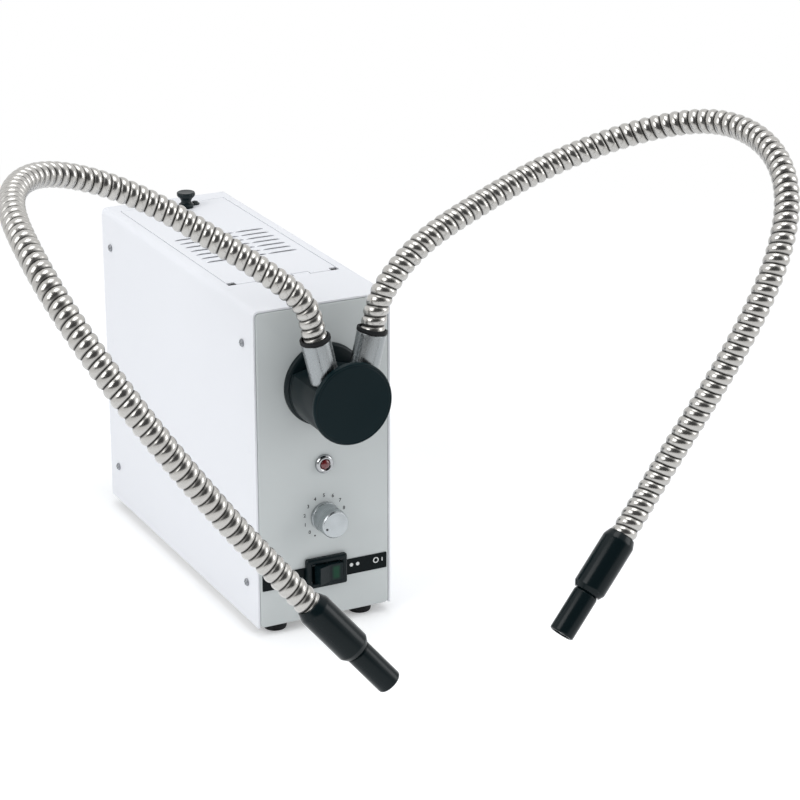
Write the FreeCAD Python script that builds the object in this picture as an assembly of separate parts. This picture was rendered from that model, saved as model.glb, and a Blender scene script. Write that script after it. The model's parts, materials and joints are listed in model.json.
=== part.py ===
import FreeCAD, Part
import math
import os

# Twin gooseneck light source for a lab bench: a halogen lamp in a vented steel case
# feeds a removable light guide with two bendable arms.
# Millimetres. +X right, +Y to the rear, +Z up. The origin is on the bench, midway
# between the four feet. The front panel looks along -Y.

V = FreeCAD.Vector

# Case
body_width = 84.0
body_depth = 228.0
body_height = 190.0
foot_height = 6.0
cover_sheet = 1.2
panel_sheet = 2.0
base_sheet = 1.5
flange_sheet = 1.5
panel_rim = 5.0
panel_proud = 1.0
panel_edge_radius = 1.0
panel_corner_radius = 2.5
cover_edge_radius = 3.5
panel_gap = 0.4
cover_set_back = 0.2
sheet_gap = 0.2
flange_depth = 18.0
flange_end_gap = 6.0
base_wall_height = 22.0
tongue_side_gap = 1.6

# Feet
foot_radius = 7.5
foot_taper = 1.0
foot_inset = 10.0
foot_side_inset = 15.0
pad_radius = 5.0
foot_screw_radius = 1.5
foot_screw_head_radius = 3.0
foot_screw_head_height = 1.6
foot_recess_depth = 3.0
hole_clearance = 0.2

# Case screws
screw_radius = 1.45
screw_head_radius = 2.3
screw_head_height = 1.5
screw_length = 7.0
screw_inset = 14.0
screw_head_edge = 0.6
screw_low_rise = 23.5
screw_high_drop = 22.0

# Lamp axis and light guide
lamp_drop = 47.7
socket_flange_radius = 24.2
socket_flange_thickness = 3.5
socket_tube_radius = 15.0
socket_tube_length = 17.0
socket_nut_radius = 20.0
socket_nut_thickness = 3.0
nose_radius = 12.45
running_gap = 0.05
nose_reach = 22.0
head_radius = 22.8
head_length = 32.2
head_gap = 0.3
cap_radius = 23.8
cap_thickness = 3.0
cap_edge = 0.8
journal_radius = 9.0
journal_length = 16.0
chamber_length = 27.0
bundle_radius = 5.9
fit_gap = 0.1

# Arms: the ferrule leans out by a slope of 3 in 13
ferrule_lean_x = 3.0
ferrule_lean_z = 13.0
ferrule_radius = 8.25
ferrule_length = 20.5
ferrule_skirt_rise = 4.0
ferrule_skirt_gap = 0.4
ferrule_spigot_radius = 6.2
ferrule_spigot_length = 6.0
collar_radius = 8.6
collar_height = 2.5
tail_radius = 4.6
tail_depth = 16.0
ferrule_spread = 16.0
ferrule_set_back = 9.0
ferrule_top_rise = 31.7

# Gooseneck hose
hose_radius = 7.0
hose_groove_depth = 0.95
hose_shoulder_depth = 0.28
hose_bore_radius = 5.0
rib_count = 94
rib_crest_start = 0.20
rib_crest_end = 0.80
route_samples = 40

# Rib numbers where one stretch of the arm ends and the next begins
base_bend_end = 11
lower_run_end = 26
arch_bend_end = 46
upper_run_end = 76

# Control points of each arm's centreline, from the top of its ferrule to its nozzle
left_route = [
    (0, 0, 0), (-3, 0, 13), (-6, 0, 26), (-19, 6, 39),
    (-44, 24, 58), (-77, 45, 82), (-114, 50, 99), (-149, 33, 109),
    (-173, -3, 107), (-181, -49, 99), (-178, -91, 76), (-158, -119, 36),
    (-132, -130, -3), (-107, -133, -37), (-94, -136, -53), (-83, -140, -67),
    (-73, -143, -79),
]
right_route = [
    (0, 0, 0), (3, 0, 13), (6, 0, 26), (30, 1, 51),
    (66, 6, 64), (100, 11, 76), (137, 7, 89), (173, -9, 102),
    (197, -42, 112), (202, -85, 106), (191, -120, 86), (169, -137, 49),
    (142, -136, 3), (117, -130, -38), (105, -128, -58), (93, -131, -71),
    (83, -133, -82),
]

# Nozzles
nozzle_radius = 9.0
nozzle_length = 36.0
nozzle_back_radius = 7.3
nozzle_back_taper = 4.0
nozzle_front_taper = 3.0
nozzle_bore_radius = 5.0
tip_radius = 6.85
tip_length = 26.0
tip_edge = 0.8
tip_spigot_radius = 4.9
tip_spigot_length = 10.0
tip_bore_radius = 4.0
tip_lens_thickness = 2.0
tip_lens_inset = 0.5
tip_lens_seat = 1.2
tip_lens_dome = 0.5

# Front controls
indicator_share = 0.5756
indicator_bezel_radius = 5.65
indicator_bezel_height = 2.5
indicator_barrel_radius = 4.0
indicator_barrel_length = 16.0
indicator_lens_radius = 3.6
indicator_lens_rise = 1.6
indicator_bezel_bevel = 1.4
indicator_bezel_rim = 1.2
indicator_seat_depth = 3.0
indicator_nut_radius = 6.5
indicator_nut_thickness = 2.2
knob_share = 0.2944
knob_radius = 8.7
knob_front_radius = 8.2
knob_height = 15.7
knob_gap = 0.3
knob_edge = 0.9
knob_cavity_radius = 6.6
knob_cavity_depth = 4.2
knob_bore_depth = 9.0
knob_mark_radius = 0.8
knob_mark_depth = 0.4
knob_mark_at = 5.9
knob_mark_angle = 197.0
knob_shaft_fit = 0.02
shaft_end_gap = 0.5
shaft_tail = 3.0
shaft_radius = 3.0
bushing_radius = 3.5
bushing_length = 3.4
pot_radius = 8.5
pot_length = 9.0
pot_nut_radius = 5.6
pot_nut_thickness = 2.0
switch_rise = 28.5
switch_width = 25.6
switch_height = 18.2
switch_proud = 3.0
switch_edge = 1.0
switch_opening_width = 18.8
switch_opening_height = 11.2
switch_body_width = 21.0
switch_body_height = 13.4
switch_body_depth = 22.0
switch_well_depth = 9.0
rocker_length = 15.8
rocker_height = 10.4
rocker_pivot_depth = 2.0
rocker_end_rise = 5.8
rocker_middle_rise = 4.3
rocker_tilt = 10.0
trunnion_radius = 1.2
rocker_end_depth = 0.4
rocker_keel_depth = 3.2
rocker_keel_share = 0.4
trunnion_reach = 1.0
band_drop = 1.0
band_height = 9.6
band_thickness = 0.6
band_side_margin = 0.4

# Lamp hatch in the top
hatch_front_land = 51.0
hatch_rear_land = 13.0
hatch_side_land = 8.0
hatch_side_gap = 0.5
hatch_lip = 5.0
hinge_gap = 2.4
hinge_pin_radius = 1.2
hinge_drop = 1.8
knuckle_radius = 2.1
knuckle_length = 10.0
knuckle_inset = 10.0
knuckle_space = 3.0
hinge_web_overlap = 0.6
pin_ball_radius = 1.8
pin_end_inset = 2.5
louvre_rows = 7
louvre_pitch = 8.0
louvre_start = 44.0
louvre_length = 18.0
louvre_width = 2.4
louvre_column_pitch = 19.5
louvre_lip = 0.9
louvre_rise = 0.45
hatch_knob_x = 5.0
hatch_knob_from_rear = 10.0
hatch_knob_foot_radius = 4.6
hatch_knob_waist_radius = 3.0
hatch_knob_head_radius = 5.7
hatch_knob_height = 10.0
hatch_knob_lift = 0.2
hatch_knob_foot_height = 1.6
hatch_knob_waist_rise = 2.4
hatch_knob_flare_radius = 3.4
hatch_knob_flare_height = 5.4
hatch_knob_head_height = 2.2
hatch_knob_edge = 0.6
stud_radius = 2.1
stud_clearance = 0.5
stud_length = 6.0
strap_reach_x = 7.5
strap_reach_y = 4.3
strap_thickness = 0.8
strap_width = 3.6
rivet_radius = 2.2
rivet_height = 1.4
rivet_tail = 0.8
rivet_pad = 0.8
shelf_sheet = 1.5
shelf_seat_gap = 0.3
shelf_width = 26.0
shelf_reach = 18.0

# Lamp house
baffle_set_back = 27.0
bracket_sheet = 1.5
lamp_seat_gap = 0.3
baffle_side_gap = 4.6
baffle_top_gap = 14.0
baffle_hole_radius = 22.0
filter_radius = 21.7
filter_thickness = 3.0
reflector_radius = 25.0
reflector_neck_radius = 8.5
reflector_depth = 34.0
reflector_wall = 1.6
capsule_radius = 4.5
capsule_length = 16.0
lamp_base_width = 18.0
lamp_base_depth = 10.0
holder_width = 22.0
holder_depth = 12.0
holder_height = 20.0
holder_post_width = 24.0

# Fan
fan_size = 60.0
fan_depth = 15.0
fan_bore_radius = 28.0
fan_hub_radius = 12.0
fan_stator_height = 3.0
fan_blade_count = 7
fan_blade_reach = 27.0
fan_blade_pitch = 38.0
fan_blade_sheet = 1.0
fan_blade_chord = 11.0
fan_axle_radius = 1.5
fan_screw_spacing = 50.0
fan_screw_radius = 1.7
fan_screw_head_radius = 3.2
fan_screw_head_height = 1.8
fan_strut_width = 4.0
fan_seat_gap = 0.3
fan_rotor_gap = 0.8
fan_axle_end_gap = 4.0
fan_screw_share = 0.7
grille_slot_width = 3.2
grille_slot_pitch = 6.4
grille_radius = 27.0

# Mains inlet and fuse
inlet_x = -14.0
inlet_rise = 32.0
inlet_flange_width = 31.0
inlet_flange_height = 25.0
inlet_flange_thickness = 2.5
inlet_body_width = 27.0
inlet_body_height = 20.0
inlet_body_depth = 17.0
inlet_well_width = 24.0
inlet_well_height = 16.4
inlet_well_depth = 14.0
inlet_blade_length = 9.0
inlet_blade_width = 4.0
inlet_blade_sheet = 2.0
inlet_blade_spread = 7.0
inlet_blade_step = 2.0
inlet_corner_radius = 2.5
fuse_x = 24.0
fuse_body_radius = 6.0
fuse_body_length = 24.0
fuse_flange_radius = 8.0
fuse_flange_thickness = 2.0
fuse_bore_radius = 4.5
fuse_cap_radius = 6.8
fuse_cap_height = 5.0
fuse_link_radius = 3.0
fuse_link_length = 18.0
fuse_floor = 2.0
fuse_seat_gap = 0.3
fuse_plug_length = 8.0
fuse_nest_depth = 6.0
fuse_cap_edge = 1.0
fuse_slot_width = 1.6
fuse_slot_depth = 1.2

# Power electronics
transformer_from_rear = 52.0
core_width = 60.0
core_depth = 40.0
core_height = 50.0
core_window_width = 11.0
core_window_height = 30.0
core_leg_half = 10.0
coil_overhang = 6.0
coil_gap = 0.3
coil_corner_radius = 4.0
strap_sheet = 1.2
strap_inset = 6.0
strap_wall_gap = 2.1
board_width = 58.0
board_depth = 44.0
board_thickness = 1.6
board_from_front = 56.0
standoff_height = 8.0
standoff_radius = 2.6
standoff_inset = 4.0
heatsink_width = 40.0
heatsink_height = 24.0
heatsink_fin_count = 6
heatsink_fin_sheet = 1.4
heatsink_wall = 3.0
heatsink_fin_reach = 8.0
heatsink_offset = 8.0
device_width = 10.0
device_depth = 4.6
device_height = 16.0
component_row_offset = 10.0
component_spread = 14.0
capacitor_radius = 6.0
capacitor_height = 20.0
choke_radius = 8.0
choke_hole_radius = 3.5
choke_height = 8.0

# Places worked out from the sizes above
half_width = body_width / 2
front_y = -body_depth / 2
rear_y = body_depth / 2
case_bottom = foot_height
case_top = foot_height + body_height
panel_front = front_y - panel_proud
panel_back = panel_front + panel_sheet
front_rim_back = panel_front + panel_rim
rear_panel_front = rear_y - panel_sheet
rear_rim_front = rear_y - panel_rim
cover_front = panel_front + cover_set_back
cover_rear = rear_y - cover_set_back
floor_front = front_rim_back + panel_gap
floor_rear = rear_rim_front - panel_gap
inner_half = half_width - cover_sheet - sheet_gap
base_bottom = case_bottom + panel_sheet
base_top = base_bottom + base_sheet
lid_bottom = case_top - cover_sheet
panel_top = lid_bottom - sheet_gap
hinge_z = case_top - hinge_drop
lamp_z = case_top - lamp_drop
baffle_y = front_y + baffle_set_back
lamp_wall_back = baffle_y + bracket_sheet
lamp_seat_y = lamp_wall_back + lamp_seat_gap
head_back = panel_front - socket_flange_thickness - head_gap
head_front = head_back - head_length
arm_start_y = head_front + ferrule_set_back
arm_start_z = lamp_z + ferrule_top_rise
switch_z = case_bottom + switch_rise
band_z = switch_z - band_drop
band_half = inner_half - panel_edge_radius - band_side_margin
indicator_z = round(switch_z + (lamp_z - switch_z) * indicator_share, 1)
knob_z = round(switch_z + (lamp_z - switch_z) * knob_share, 1)
inlet_z = case_bottom + inlet_rise
hatch_seam_y = front_y + hatch_front_land
hatch_rear_y = rear_y - hatch_rear_land
hatch_half_width = half_width - hatch_side_land
hatch_knob_y = hatch_rear_y - hatch_knob_from_rear
knuckle_spread_lid = hatch_half_width - knuckle_inset
knuckle_spread_cover = knuckle_spread_lid - knuckle_length - knuckle_space
pin_half_length = hatch_half_width - pin_end_inset
transformer_y = rear_y - transformer_from_rear
board_y = front_y + board_from_front
fan_back = rear_panel_front - fan_seat_gap
fan_front = fan_back - fan_depth


def box(x0, x1, y0, y1, z0, z1):
    """A block between two corners."""
    return Part.makeBox(x1 - x0, y1 - y0, z1 - z0, V(x0, y0, z0))


def rod(radius, length, start, direction):
    """A cylinder from its start point along a direction."""
    return Part.makeCylinder(radius, length, V(*start), V(*direction))


def tube(outer, inner, length, start, direction):
    """A cylinder with a round hole along it."""
    return rod(outer, length, start, direction).cut(rod(inner, length, start, direction))


def turned(profile, start, direction):
    """A solid of revolution: the profile is a list of (radius, distance along the axis)."""
    points = [V(radius, 0, height) for radius, height in profile]
    points.append(points[0])
    face = Part.Face(Part.makePolygon(points))
    solid = face.revolve(V(0, 0, 0), V(0, 0, 1), 360)
    solid.Placement = FreeCAD.Placement(V(*start), FreeCAD.Rotation(V(0, 0, 1), V(*direction)))
    return solid


def edges_along(shape, direction, accept):
    """The straight edges of a shape that run along a direction and pass a test on their middle."""
    found = []
    for edge in shape.Edges:
        span = edge.Vertexes[-1].Point - edge.Vertexes[0].Point
        if span.Length > 0 and abs(span.normalize().dot(V(*direction))) > 0.999:
            if accept(edge.CenterOfMass):
                found.append(edge)
    return found


def mirrored_x(shape):
    """The mirror image across the middle plane."""
    return shape.mirror(V(0, 0, 0), V(1, 0, 0))


def joined(shapes):
    """One solid from pieces that overlap or touch."""
    return shapes[0].fuse(shapes[1:]).removeSplitter()


def group(shapes):
    """Separate solids kept as one node."""
    return Part.makeCompound(shapes)


# Case

def panel_shell(face_y, depth_sign):
    """A shallow tray that fits inside the cover's end, its face rounded all round, with two side flanges."""
    rim_y = face_y + depth_sign * panel_rim
    inner_y = face_y + depth_sign * panel_sheet
    flange_y = face_y + depth_sign * (panel_rim + flange_depth)
    tray = box(-inner_half, inner_half, min(face_y, rim_y), max(face_y, rim_y), case_bottom, panel_top)
    anywhere = lambda middle: True
    tray = tray.makeFillet(panel_corner_radius, edges_along(tray, (0, 1, 0), anywhere))
    face_edges = [
        edge for edge in tray.Edges
        if max(abs(edge.BoundBox.YMin - face_y), abs(edge.BoundBox.YMax - face_y)) < 0.01
    ]
    tray = tray.makeFillet(panel_edge_radius, face_edges)
    wall = panel_sheet
    hollow = box(
        -inner_half + wall, inner_half - wall, min(inner_y, rim_y), max(inner_y, rim_y),
        case_bottom + wall, panel_top - wall,
    )
    hollow = hollow.makeFillet(panel_corner_radius - wall, edges_along(hollow, (0, 1, 0), anywhere))
    tray = tray.cut(hollow)
    flanges = []
    for side in (-1, 1):
        outer_x = side * inner_half
        inner_x = side * (inner_half - flange_sheet)
        flanges.append(box(
            min(outer_x, inner_x), max(outer_x, inner_x), min(inner_y, flange_y), max(inner_y, flange_y),
            case_bottom + flange_end_gap, case_top - flange_end_gap,
        ))
    return joined([tray] + flanges)


def side_screw_places():
    """Both sides, front and rear, low and high."""
    places = []
    for side in (-1, 1):
        for y in (front_y + screw_inset, rear_y - screw_inset):
            for z in (case_bottom + screw_low_rise, case_top - screw_high_drop):
                places.append((side, y, z))
    return places


def side_screw_holes(radius):
    reach = cover_sheet + sheet_gap + flange_sheet + 1
    return [
        rod(radius, reach, (side * (half_width + 0.5), y, z), (-side, 0, 0))
        for side, y, z in side_screw_places()
    ]


def front_panel():
    panel = panel_shell(panel_front, 1)
    start = panel_front - 1
    depth = panel_sheet + 2
    cuts = side_screw_holes(screw_radius + running_gap)
    cuts.append(rod(socket_tube_radius + hole_clearance, depth, (0, start, lamp_z), (0, 1, 0)))
    cuts.append(rod(indicator_barrel_radius + hole_clearance, depth, (0, start, indicator_z), (0, 1, 0)))
    cuts.append(rod(bushing_radius + hole_clearance, depth, (0, start, knob_z), (0, 1, 0)))
    half = switch_body_width / 2 + hole_clearance
    tall = switch_body_height / 2 + hole_clearance
    cuts.append(box(-half, half, start, start + depth, switch_z - tall, switch_z + tall))
    return panel.cut(cuts)


def grille_slots(start_y, depth):
    """Upright air slots inside a circle, behind the fan."""
    slots = []
    count = int(grille_radius / grille_slot_pitch)
    for step in range(-count, count + 1):
        x = step * grille_slot_pitch
        tall = math.sqrt(grille_radius ** 2 - x ** 2)
        half = grille_slot_width / 2
        slots.append(box(x - half, x + half, start_y, start_y + depth, lamp_z - tall, lamp_z + tall))
    return slots


def fan_screw_places():
    half = fan_screw_spacing / 2
    return [(x, lamp_z + z) for x in (-half, half) for z in (-half, half)]


def rear_panel():
    panel = panel_shell(rear_y, -1)
    start = rear_panel_front - 1
    depth = panel_sheet + 2
    cuts = side_screw_holes(screw_radius + running_gap) + grille_slots(start, depth)
    for x, z in fan_screw_places():
        cuts.append(rod(fan_screw_radius + hole_clearance, depth, (x, start, z), (0, 1, 0)))
    half = inlet_body_width / 2 + hole_clearance
    tall = inlet_body_height / 2 + hole_clearance
    cuts.append(box(inlet_x - half, inlet_x + half, start, start + depth, inlet_z - tall, inlet_z + tall))
    cuts.append(rod(fuse_body_radius + hole_clearance, depth, (fuse_x, start, inlet_z), (0, 1, 0)))
    return panel.cut(cuts)


def chassis_base():
    """Floor plate with a tongue into each panel, side walls, pads for the feet and posts for the board."""
    tongue_half = inner_half - panel_sheet - tongue_side_gap
    tongue = box(-tongue_half, tongue_half, panel_back, rear_panel_front, base_bottom, base_top)
    floor = box(-inner_half, inner_half, floor_front, floor_rear, base_bottom, base_top)
    wall_y = front_y + panel_rim + flange_depth + panel_gap
    pieces = [floor, tongue]
    for side in (-1, 1):
        outer_x = side * inner_half
        inner_x = side * (inner_half - cover_sheet)
        pieces.append(box(
            min(outer_x, inner_x), max(outer_x, inner_x), wall_y, -wall_y,
            base_bottom, base_bottom + base_wall_height,
        ))
    for x, y in foot_places():
        pieces.append(rod(pad_radius, base_bottom - case_bottom, (x, y, case_bottom), (0, 0, 1)))
    for x, y in board_corners():
        pieces.append(rod(standoff_radius, standoff_height, (x, y, base_top), (0, 0, 1)))
    base = joined(pieces)
    drill = foot_screw_radius + hole_clearance
    cuts = [rod(drill, 6, (x, y, case_bottom - 1), (0, 0, 1)) for x, y in foot_places()]
    return base.cut(cuts)


def knuckle(x, edge_y, toward):
    """A hinge eye round the pin, with the web that ties it to the sheet edge."""
    half = knuckle_length / 2
    eye = rod(knuckle_radius, knuckle_length, (x - half, hatch_seam_y, hinge_z), (1, 0, 0))
    root_y = edge_y + toward * hinge_web_overlap
    y0 = min(root_y, hatch_seam_y)
    y1 = max(root_y, hatch_seam_y)
    web = box(x - half, x + half, y0, y1, lid_bottom, lid_bottom + cover_sheet)
    return [eye, web]


def pin_bore():
    length = 2 * (hatch_half_width + 2)
    return rod(hinge_pin_radius + running_gap, length, (-length / 2, hatch_seam_y, hinge_z), (1, 0, 0))


def hatch_shelf():
    """Shelf welded under the cover, below the rear of the lid, that the knob's stud drops into."""
    half = shelf_width / 2
    shelf_top = lid_bottom - shelf_seat_gap
    opening_rear = hatch_rear_y + hatch_side_gap
    rear = floor_rear - panel_gap
    left = hatch_knob_x - half
    right = hatch_knob_x + half
    plate = box(left, right, opening_rear - shelf_reach, rear, shelf_top - shelf_sheet, shelf_top)
    step = box(left, right, opening_rear + hatch_side_gap, rear, shelf_top - shelf_sheet, lid_bottom)
    return [plate, step]


def stud_hole(clearance):
    """The upright hole for the hatch knob's stud, through the lid and the shelf."""
    low = lid_bottom - shelf_seat_gap - shelf_sheet - 1
    return rod(stud_radius + clearance, case_top + 1 - low, (hatch_knob_x, hatch_knob_y, low), (0, 0, 1))


def rivet_hole(clearance):
    """The upright hole for the strap's rivet, through the lid and the shelf."""
    x, y = strap_end()
    low = lid_bottom - shelf_seat_gap - shelf_sheet - 1
    return rod(rivet_radius / 2 + clearance, case_top + 1 - low, (x, y, low), (0, 0, 1))


def cover_shell():
    """Top and sides in one bent sheet, with the hatch opening, its shelf and two hinge eyes."""
    outer = box(-half_width, half_width, cover_front, cover_rear, case_bottom, case_top)
    at_top = lambda middle: middle.z > case_top - 0.01
    outer = outer.makeFillet(cover_edge_radius, edges_along(outer, (0, 1, 0), at_top))
    side = half_width - cover_sheet
    inner = box(-side, side, cover_front, cover_rear, case_bottom, lid_bottom)
    under_top = lambda middle: middle.z > lid_bottom - 0.01
    inner = inner.makeFillet(cover_edge_radius - cover_sheet, edges_along(inner, (0, 1, 0), under_top))
    opening_half = hatch_half_width + hatch_side_gap
    opening_front = hatch_seam_y - hinge_gap
    opening = box(
        -opening_half, opening_half, opening_front, hatch_rear_y + hatch_side_gap,
        lid_bottom - 1, case_top + 1,
    )
    shell = outer.cut([inner, opening] + side_screw_holes(screw_radius + hole_clearance))
    pieces = [shell] + hatch_shelf()
    for x in (-knuckle_spread_cover, knuckle_spread_cover):
        pieces += knuckle(x, opening_front, -1)
    return joined(pieces).cut([pin_bore(), stud_hole(stud_clearance), rivet_hole(stud_clearance)])


def cover_screws():
    """Pan head screws through the cover into the panel flanges."""
    screws = []
    for side, y, z in side_screw_places():
        head = rod(screw_head_radius, screw_head_height, (side * half_width, y, z), (side, 0, 0))
        rim = head.Edges[0]
        for edge in head.Edges:
            if abs(edge.CenterOfMass.x) > abs(rim.CenterOfMass.x):
                rim = edge
        head = head.makeFillet(screw_head_edge, [rim])
        shank = rod(screw_radius, screw_length, (side * half_width, y, z), (-side, 0, 0))
        screws.append(joined([head, shank]))
    return group(screws)


# Feet

def foot_places():
    half = half_width - foot_side_inset
    inset = body_depth / 2 - foot_inset
    return [(x, y) for x in (-half, half) for y in (-inset, inset)]


def rubber_feet():
    feet = []
    recess = foot_screw_head_radius + hole_clearance
    drill = foot_screw_radius + hole_clearance
    profile = [
        (drill, foot_recess_depth), (recess, foot_recess_depth), (recess, 0),
        (foot_radius - foot_taper, 0), (foot_radius, foot_height), (drill, foot_height),
    ]
    for x, y in foot_places():
        feet.append(turned(profile, (x, y, 0), (0, 0, 1)))
    return group(feet)


def foot_screws():
    screws = []
    for x, y in foot_places():
        head_z = foot_recess_depth - foot_screw_head_height
        head = rod(foot_screw_head_radius, foot_screw_head_height, (x, y, head_z), (0, 0, 1))
        length = base_top + 2 - foot_recess_depth
        shank = rod(foot_screw_radius, length, (x, y, foot_recess_depth), (0, 0, 1))
        screws.append(joined([head, shank]))
    return group(screws)


# Light guide socket and head

def guide_socket():
    """Flanged bush that holds the light guide in front of the lamp."""
    flange_y = panel_front - socket_flange_thickness
    flange = rod(socket_flange_radius, socket_flange_thickness, (0, flange_y, lamp_z), (0, 1, 0))
    barrel = rod(socket_tube_radius, socket_tube_length, (0, panel_front, lamp_z), (0, 1, 0))
    length = socket_flange_thickness + socket_tube_length + 2
    bore = rod(nose_radius + running_gap, length, (0, flange_y - 1, lamp_z), (0, 1, 0))
    return joined([flange, barrel]).cut(bore)


def guide_nose():
    """Plug that slides in the socket, with a journal that the head turns on."""
    plug = rod(nose_radius, nose_reach, (0, head_back, lamp_z), (0, 1, 0))
    journal = rod(journal_radius, journal_length, (0, head_back, lamp_z), (0, -1, 0))
    start = head_back - journal_length - 1
    length = nose_reach + journal_length + 2
    bore = rod(bundle_radius + fit_gap, length, (0, start, lamp_z), (0, 1, 0))
    return joined([plug, journal]).cut(bore)


def fibre_bundle():
    """The polished common end of the glass fibre, through the nose."""
    length = nose_reach + journal_length + 1
    return rod(bundle_radius, length, (0, head_back + nose_reach, lamp_z), (0, -1, 0))


def ferrule_direction(side):
    span = math.hypot(ferrule_lean_x, ferrule_lean_z)
    return (side * ferrule_lean_x / span, 0, ferrule_lean_z / span)


def on_ferrule_axis(side, distance):
    """A point on a ferrule's axis, measured from its top face back down."""
    dx, dy, dz = ferrule_direction(side)
    return (side * ferrule_spread - dx * distance, arm_start_y, arm_start_z - dz * distance)


def guide_head():
    """Block that splits the light in two: a drum with a sloping seat for each ferrule."""
    drum = rod(head_radius, head_length, (0, head_back, lamp_z), (0, -1, 0))
    cuts = [rod(journal_radius + running_gap, chamber_length, (0, head_back, lamp_z), (0, -1, 0))]
    reach = head_radius + 10
    for side in (-1, 1):
        direction = ferrule_direction(side)
        seat = on_ferrule_axis(side, ferrule_length)
        turn = FreeCAD.Rotation(V(0, 0, 1), V(*direction))
        block = Part.makeBox(2 * reach, 2 * reach, reach, V(-reach, -reach, 0))
        block.Placement = FreeCAD.Placement(V(*seat), turn)
        cuts.append(block.common(box(min(0, side * reach), max(0, side * reach),
                                     head_front - 1, head_back + 1, 0, 2 * lamp_z)))
        floor = on_ferrule_axis(side, ferrule_length + ferrule_spigot_length)
        cuts.append(rod(ferrule_spigot_radius + fit_gap, ferrule_spigot_length + 1, floor, direction))
        deep = on_ferrule_axis(side, ferrule_length + tail_depth)
        cuts.append(rod(tail_radius + fit_gap, tail_depth + 1, deep, direction))
    return drum.cut(cuts)


def guide_cap():
    """Front disc of the head, with a small bevel round its rim."""
    profile = [
        (0, 0), (cap_radius, 0), (cap_radius, cap_thickness - cap_edge),
        (cap_radius - cap_edge, cap_thickness), (0, cap_thickness),
    ]
    return turned(profile, (0, head_front, lamp_z), (0, -1, 0))


def fibre_tails():
    """The two fibre branches inside the ferrules."""
    length = ferrule_length + tail_depth - 1
    tails = [
        rod(tail_radius, length, on_ferrule_axis(side, length), ferrule_direction(side))
        for side in (-1, 1)
    ]
    return group(tails)


def ferrule(side):
    """Aluminium sleeve under the hose, with a spigot down into the head and a skirt up round the first rib."""
    skirt_top = ferrule_length + ferrule_skirt_rise
    skirt_bore = hose_radius + ferrule_skirt_gap
    profile = [
        (hose_bore_radius, -ferrule_spigot_length), (ferrule_spigot_radius, -ferrule_spigot_length),
        (ferrule_spigot_radius, 0), (ferrule_radius, 0), (ferrule_radius, skirt_top),
        (skirt_bore, skirt_top), (skirt_bore, ferrule_length), (hose_bore_radius, ferrule_length),
    ]
    return turned(profile, on_ferrule_axis(side, ferrule_length), ferrule_direction(side))


def ferrule_collar(side):
    """Rubber ring on top of the skirt."""
    inner = hose_radius + ferrule_skirt_gap
    base = on_ferrule_axis(side, -ferrule_skirt_rise)
    return tube(collar_radius, inner, collar_height, base, ferrule_direction(side))


# Arms

def route_point(poles, index, t):
    """Uniform cubic B-spline, its end poles reflected so that it starts and ends on them."""
    point = V(0, 0, 0)
    weights = (
        (1 - t) ** 3 / 6,
        (3 * t ** 3 - 6 * t ** 2 + 4) / 6,
        (-3 * t ** 3 + 3 * t ** 2 + 3 * t + 1) / 6,
        t ** 3 / 6,
    )
    last = len(poles) - 1
    for offset, weight in zip((-1, 0, 1, 2), weights):
        at = index + offset
        if at < 0:
            pole = poles[0] * 2 - poles[1]
        elif at > last:
            pole = poles[last] * 2 - poles[last - 1]
        else:
            pole = poles[at]
        point += pole * weight
    return point


class Arm:
    """An arm's centreline by length, and the hose circles along it."""

    def __init__(self, side, route):
        start = V(*on_ferrule_axis(side, 0))
        poles = [start + V(*point) for point in route]
        self.points = []
        for index in range(len(poles) - 1):
            for step in range(route_samples):
                self.points.append(route_point(poles, index, step / route_samples))
        self.points.append(poles[-1])
        self.lengths = [0.0]
        for before, after in zip(self.points, self.points[1:]):
            self.lengths.append(self.lengths[-1] + (after - before).Length)
        self.length = self.lengths[-1]
        self.pitch = self.length / rib_count

    def locate(self, distance):
        """The point and the direction at a distance along the centreline."""
        distance = min(max(distance, 0.0), self.length)
        low, high = 0, len(self.lengths) - 2
        while low < high:
            middle = (low + high + 1) // 2
            if self.lengths[middle] <= distance:
                low = middle
            else:
                high = middle - 1
        step = self.points[low + 1] - self.points[low]
        share = (distance - self.lengths[low]) / step.Length
        before = self.points[max(low - 1, 0)]
        after = self.points[min(low + 2, len(self.points) - 1)]
        return self.points[low] + step * share, (after - before).normalize()

    def circles(self, stations):
        """A circle per (distance, radius), each keeping the X axis of the last one."""
        axis_x = V(0, 1, 0)
        wires = []
        for distance, radius in stations:
            centre, along = self.locate(distance)
            axis_x = (axis_x - along * axis_x.dot(along)).normalize()
            turn = FreeCAD.Rotation(axis_x, along.cross(axis_x), along, "ZXY")
            wire = Part.Wire([Part.makeCircle(radius)])
            wire.Placement = FreeCAD.Placement(centre, turn)
            wires.append(wire)
        return wires

    def hose(self, first_rib, last_rib):
        """Ribbed tube between two rib numbers: a groove, a shoulder, a crest and a shoulder per rib."""
        groove = hose_radius - hose_groove_depth
        shoulder = hose_radius - hose_shoulder_depth
        outside = []
        inside = []
        for rib in range(first_rib, last_rib):
            start = rib * self.pitch
            inside.append((start, hose_bore_radius))
            outside.append((start, groove))
            outside.append((start + self.pitch * rib_crest_start, shoulder))
            outside.append((start + self.pitch * 0.5, hose_radius))
            outside.append((start + self.pitch * rib_crest_end, shoulder))
        end = last_rib * self.pitch
        inside.append((end, hose_bore_radius))
        outside.append((end, groove))
        body = Part.makeLoft(self.circles(outside), True, True)
        bore = Part.makeLoft(self.circles(inside), True, True)
        return body.cut(bore).Solids[0]


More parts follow.
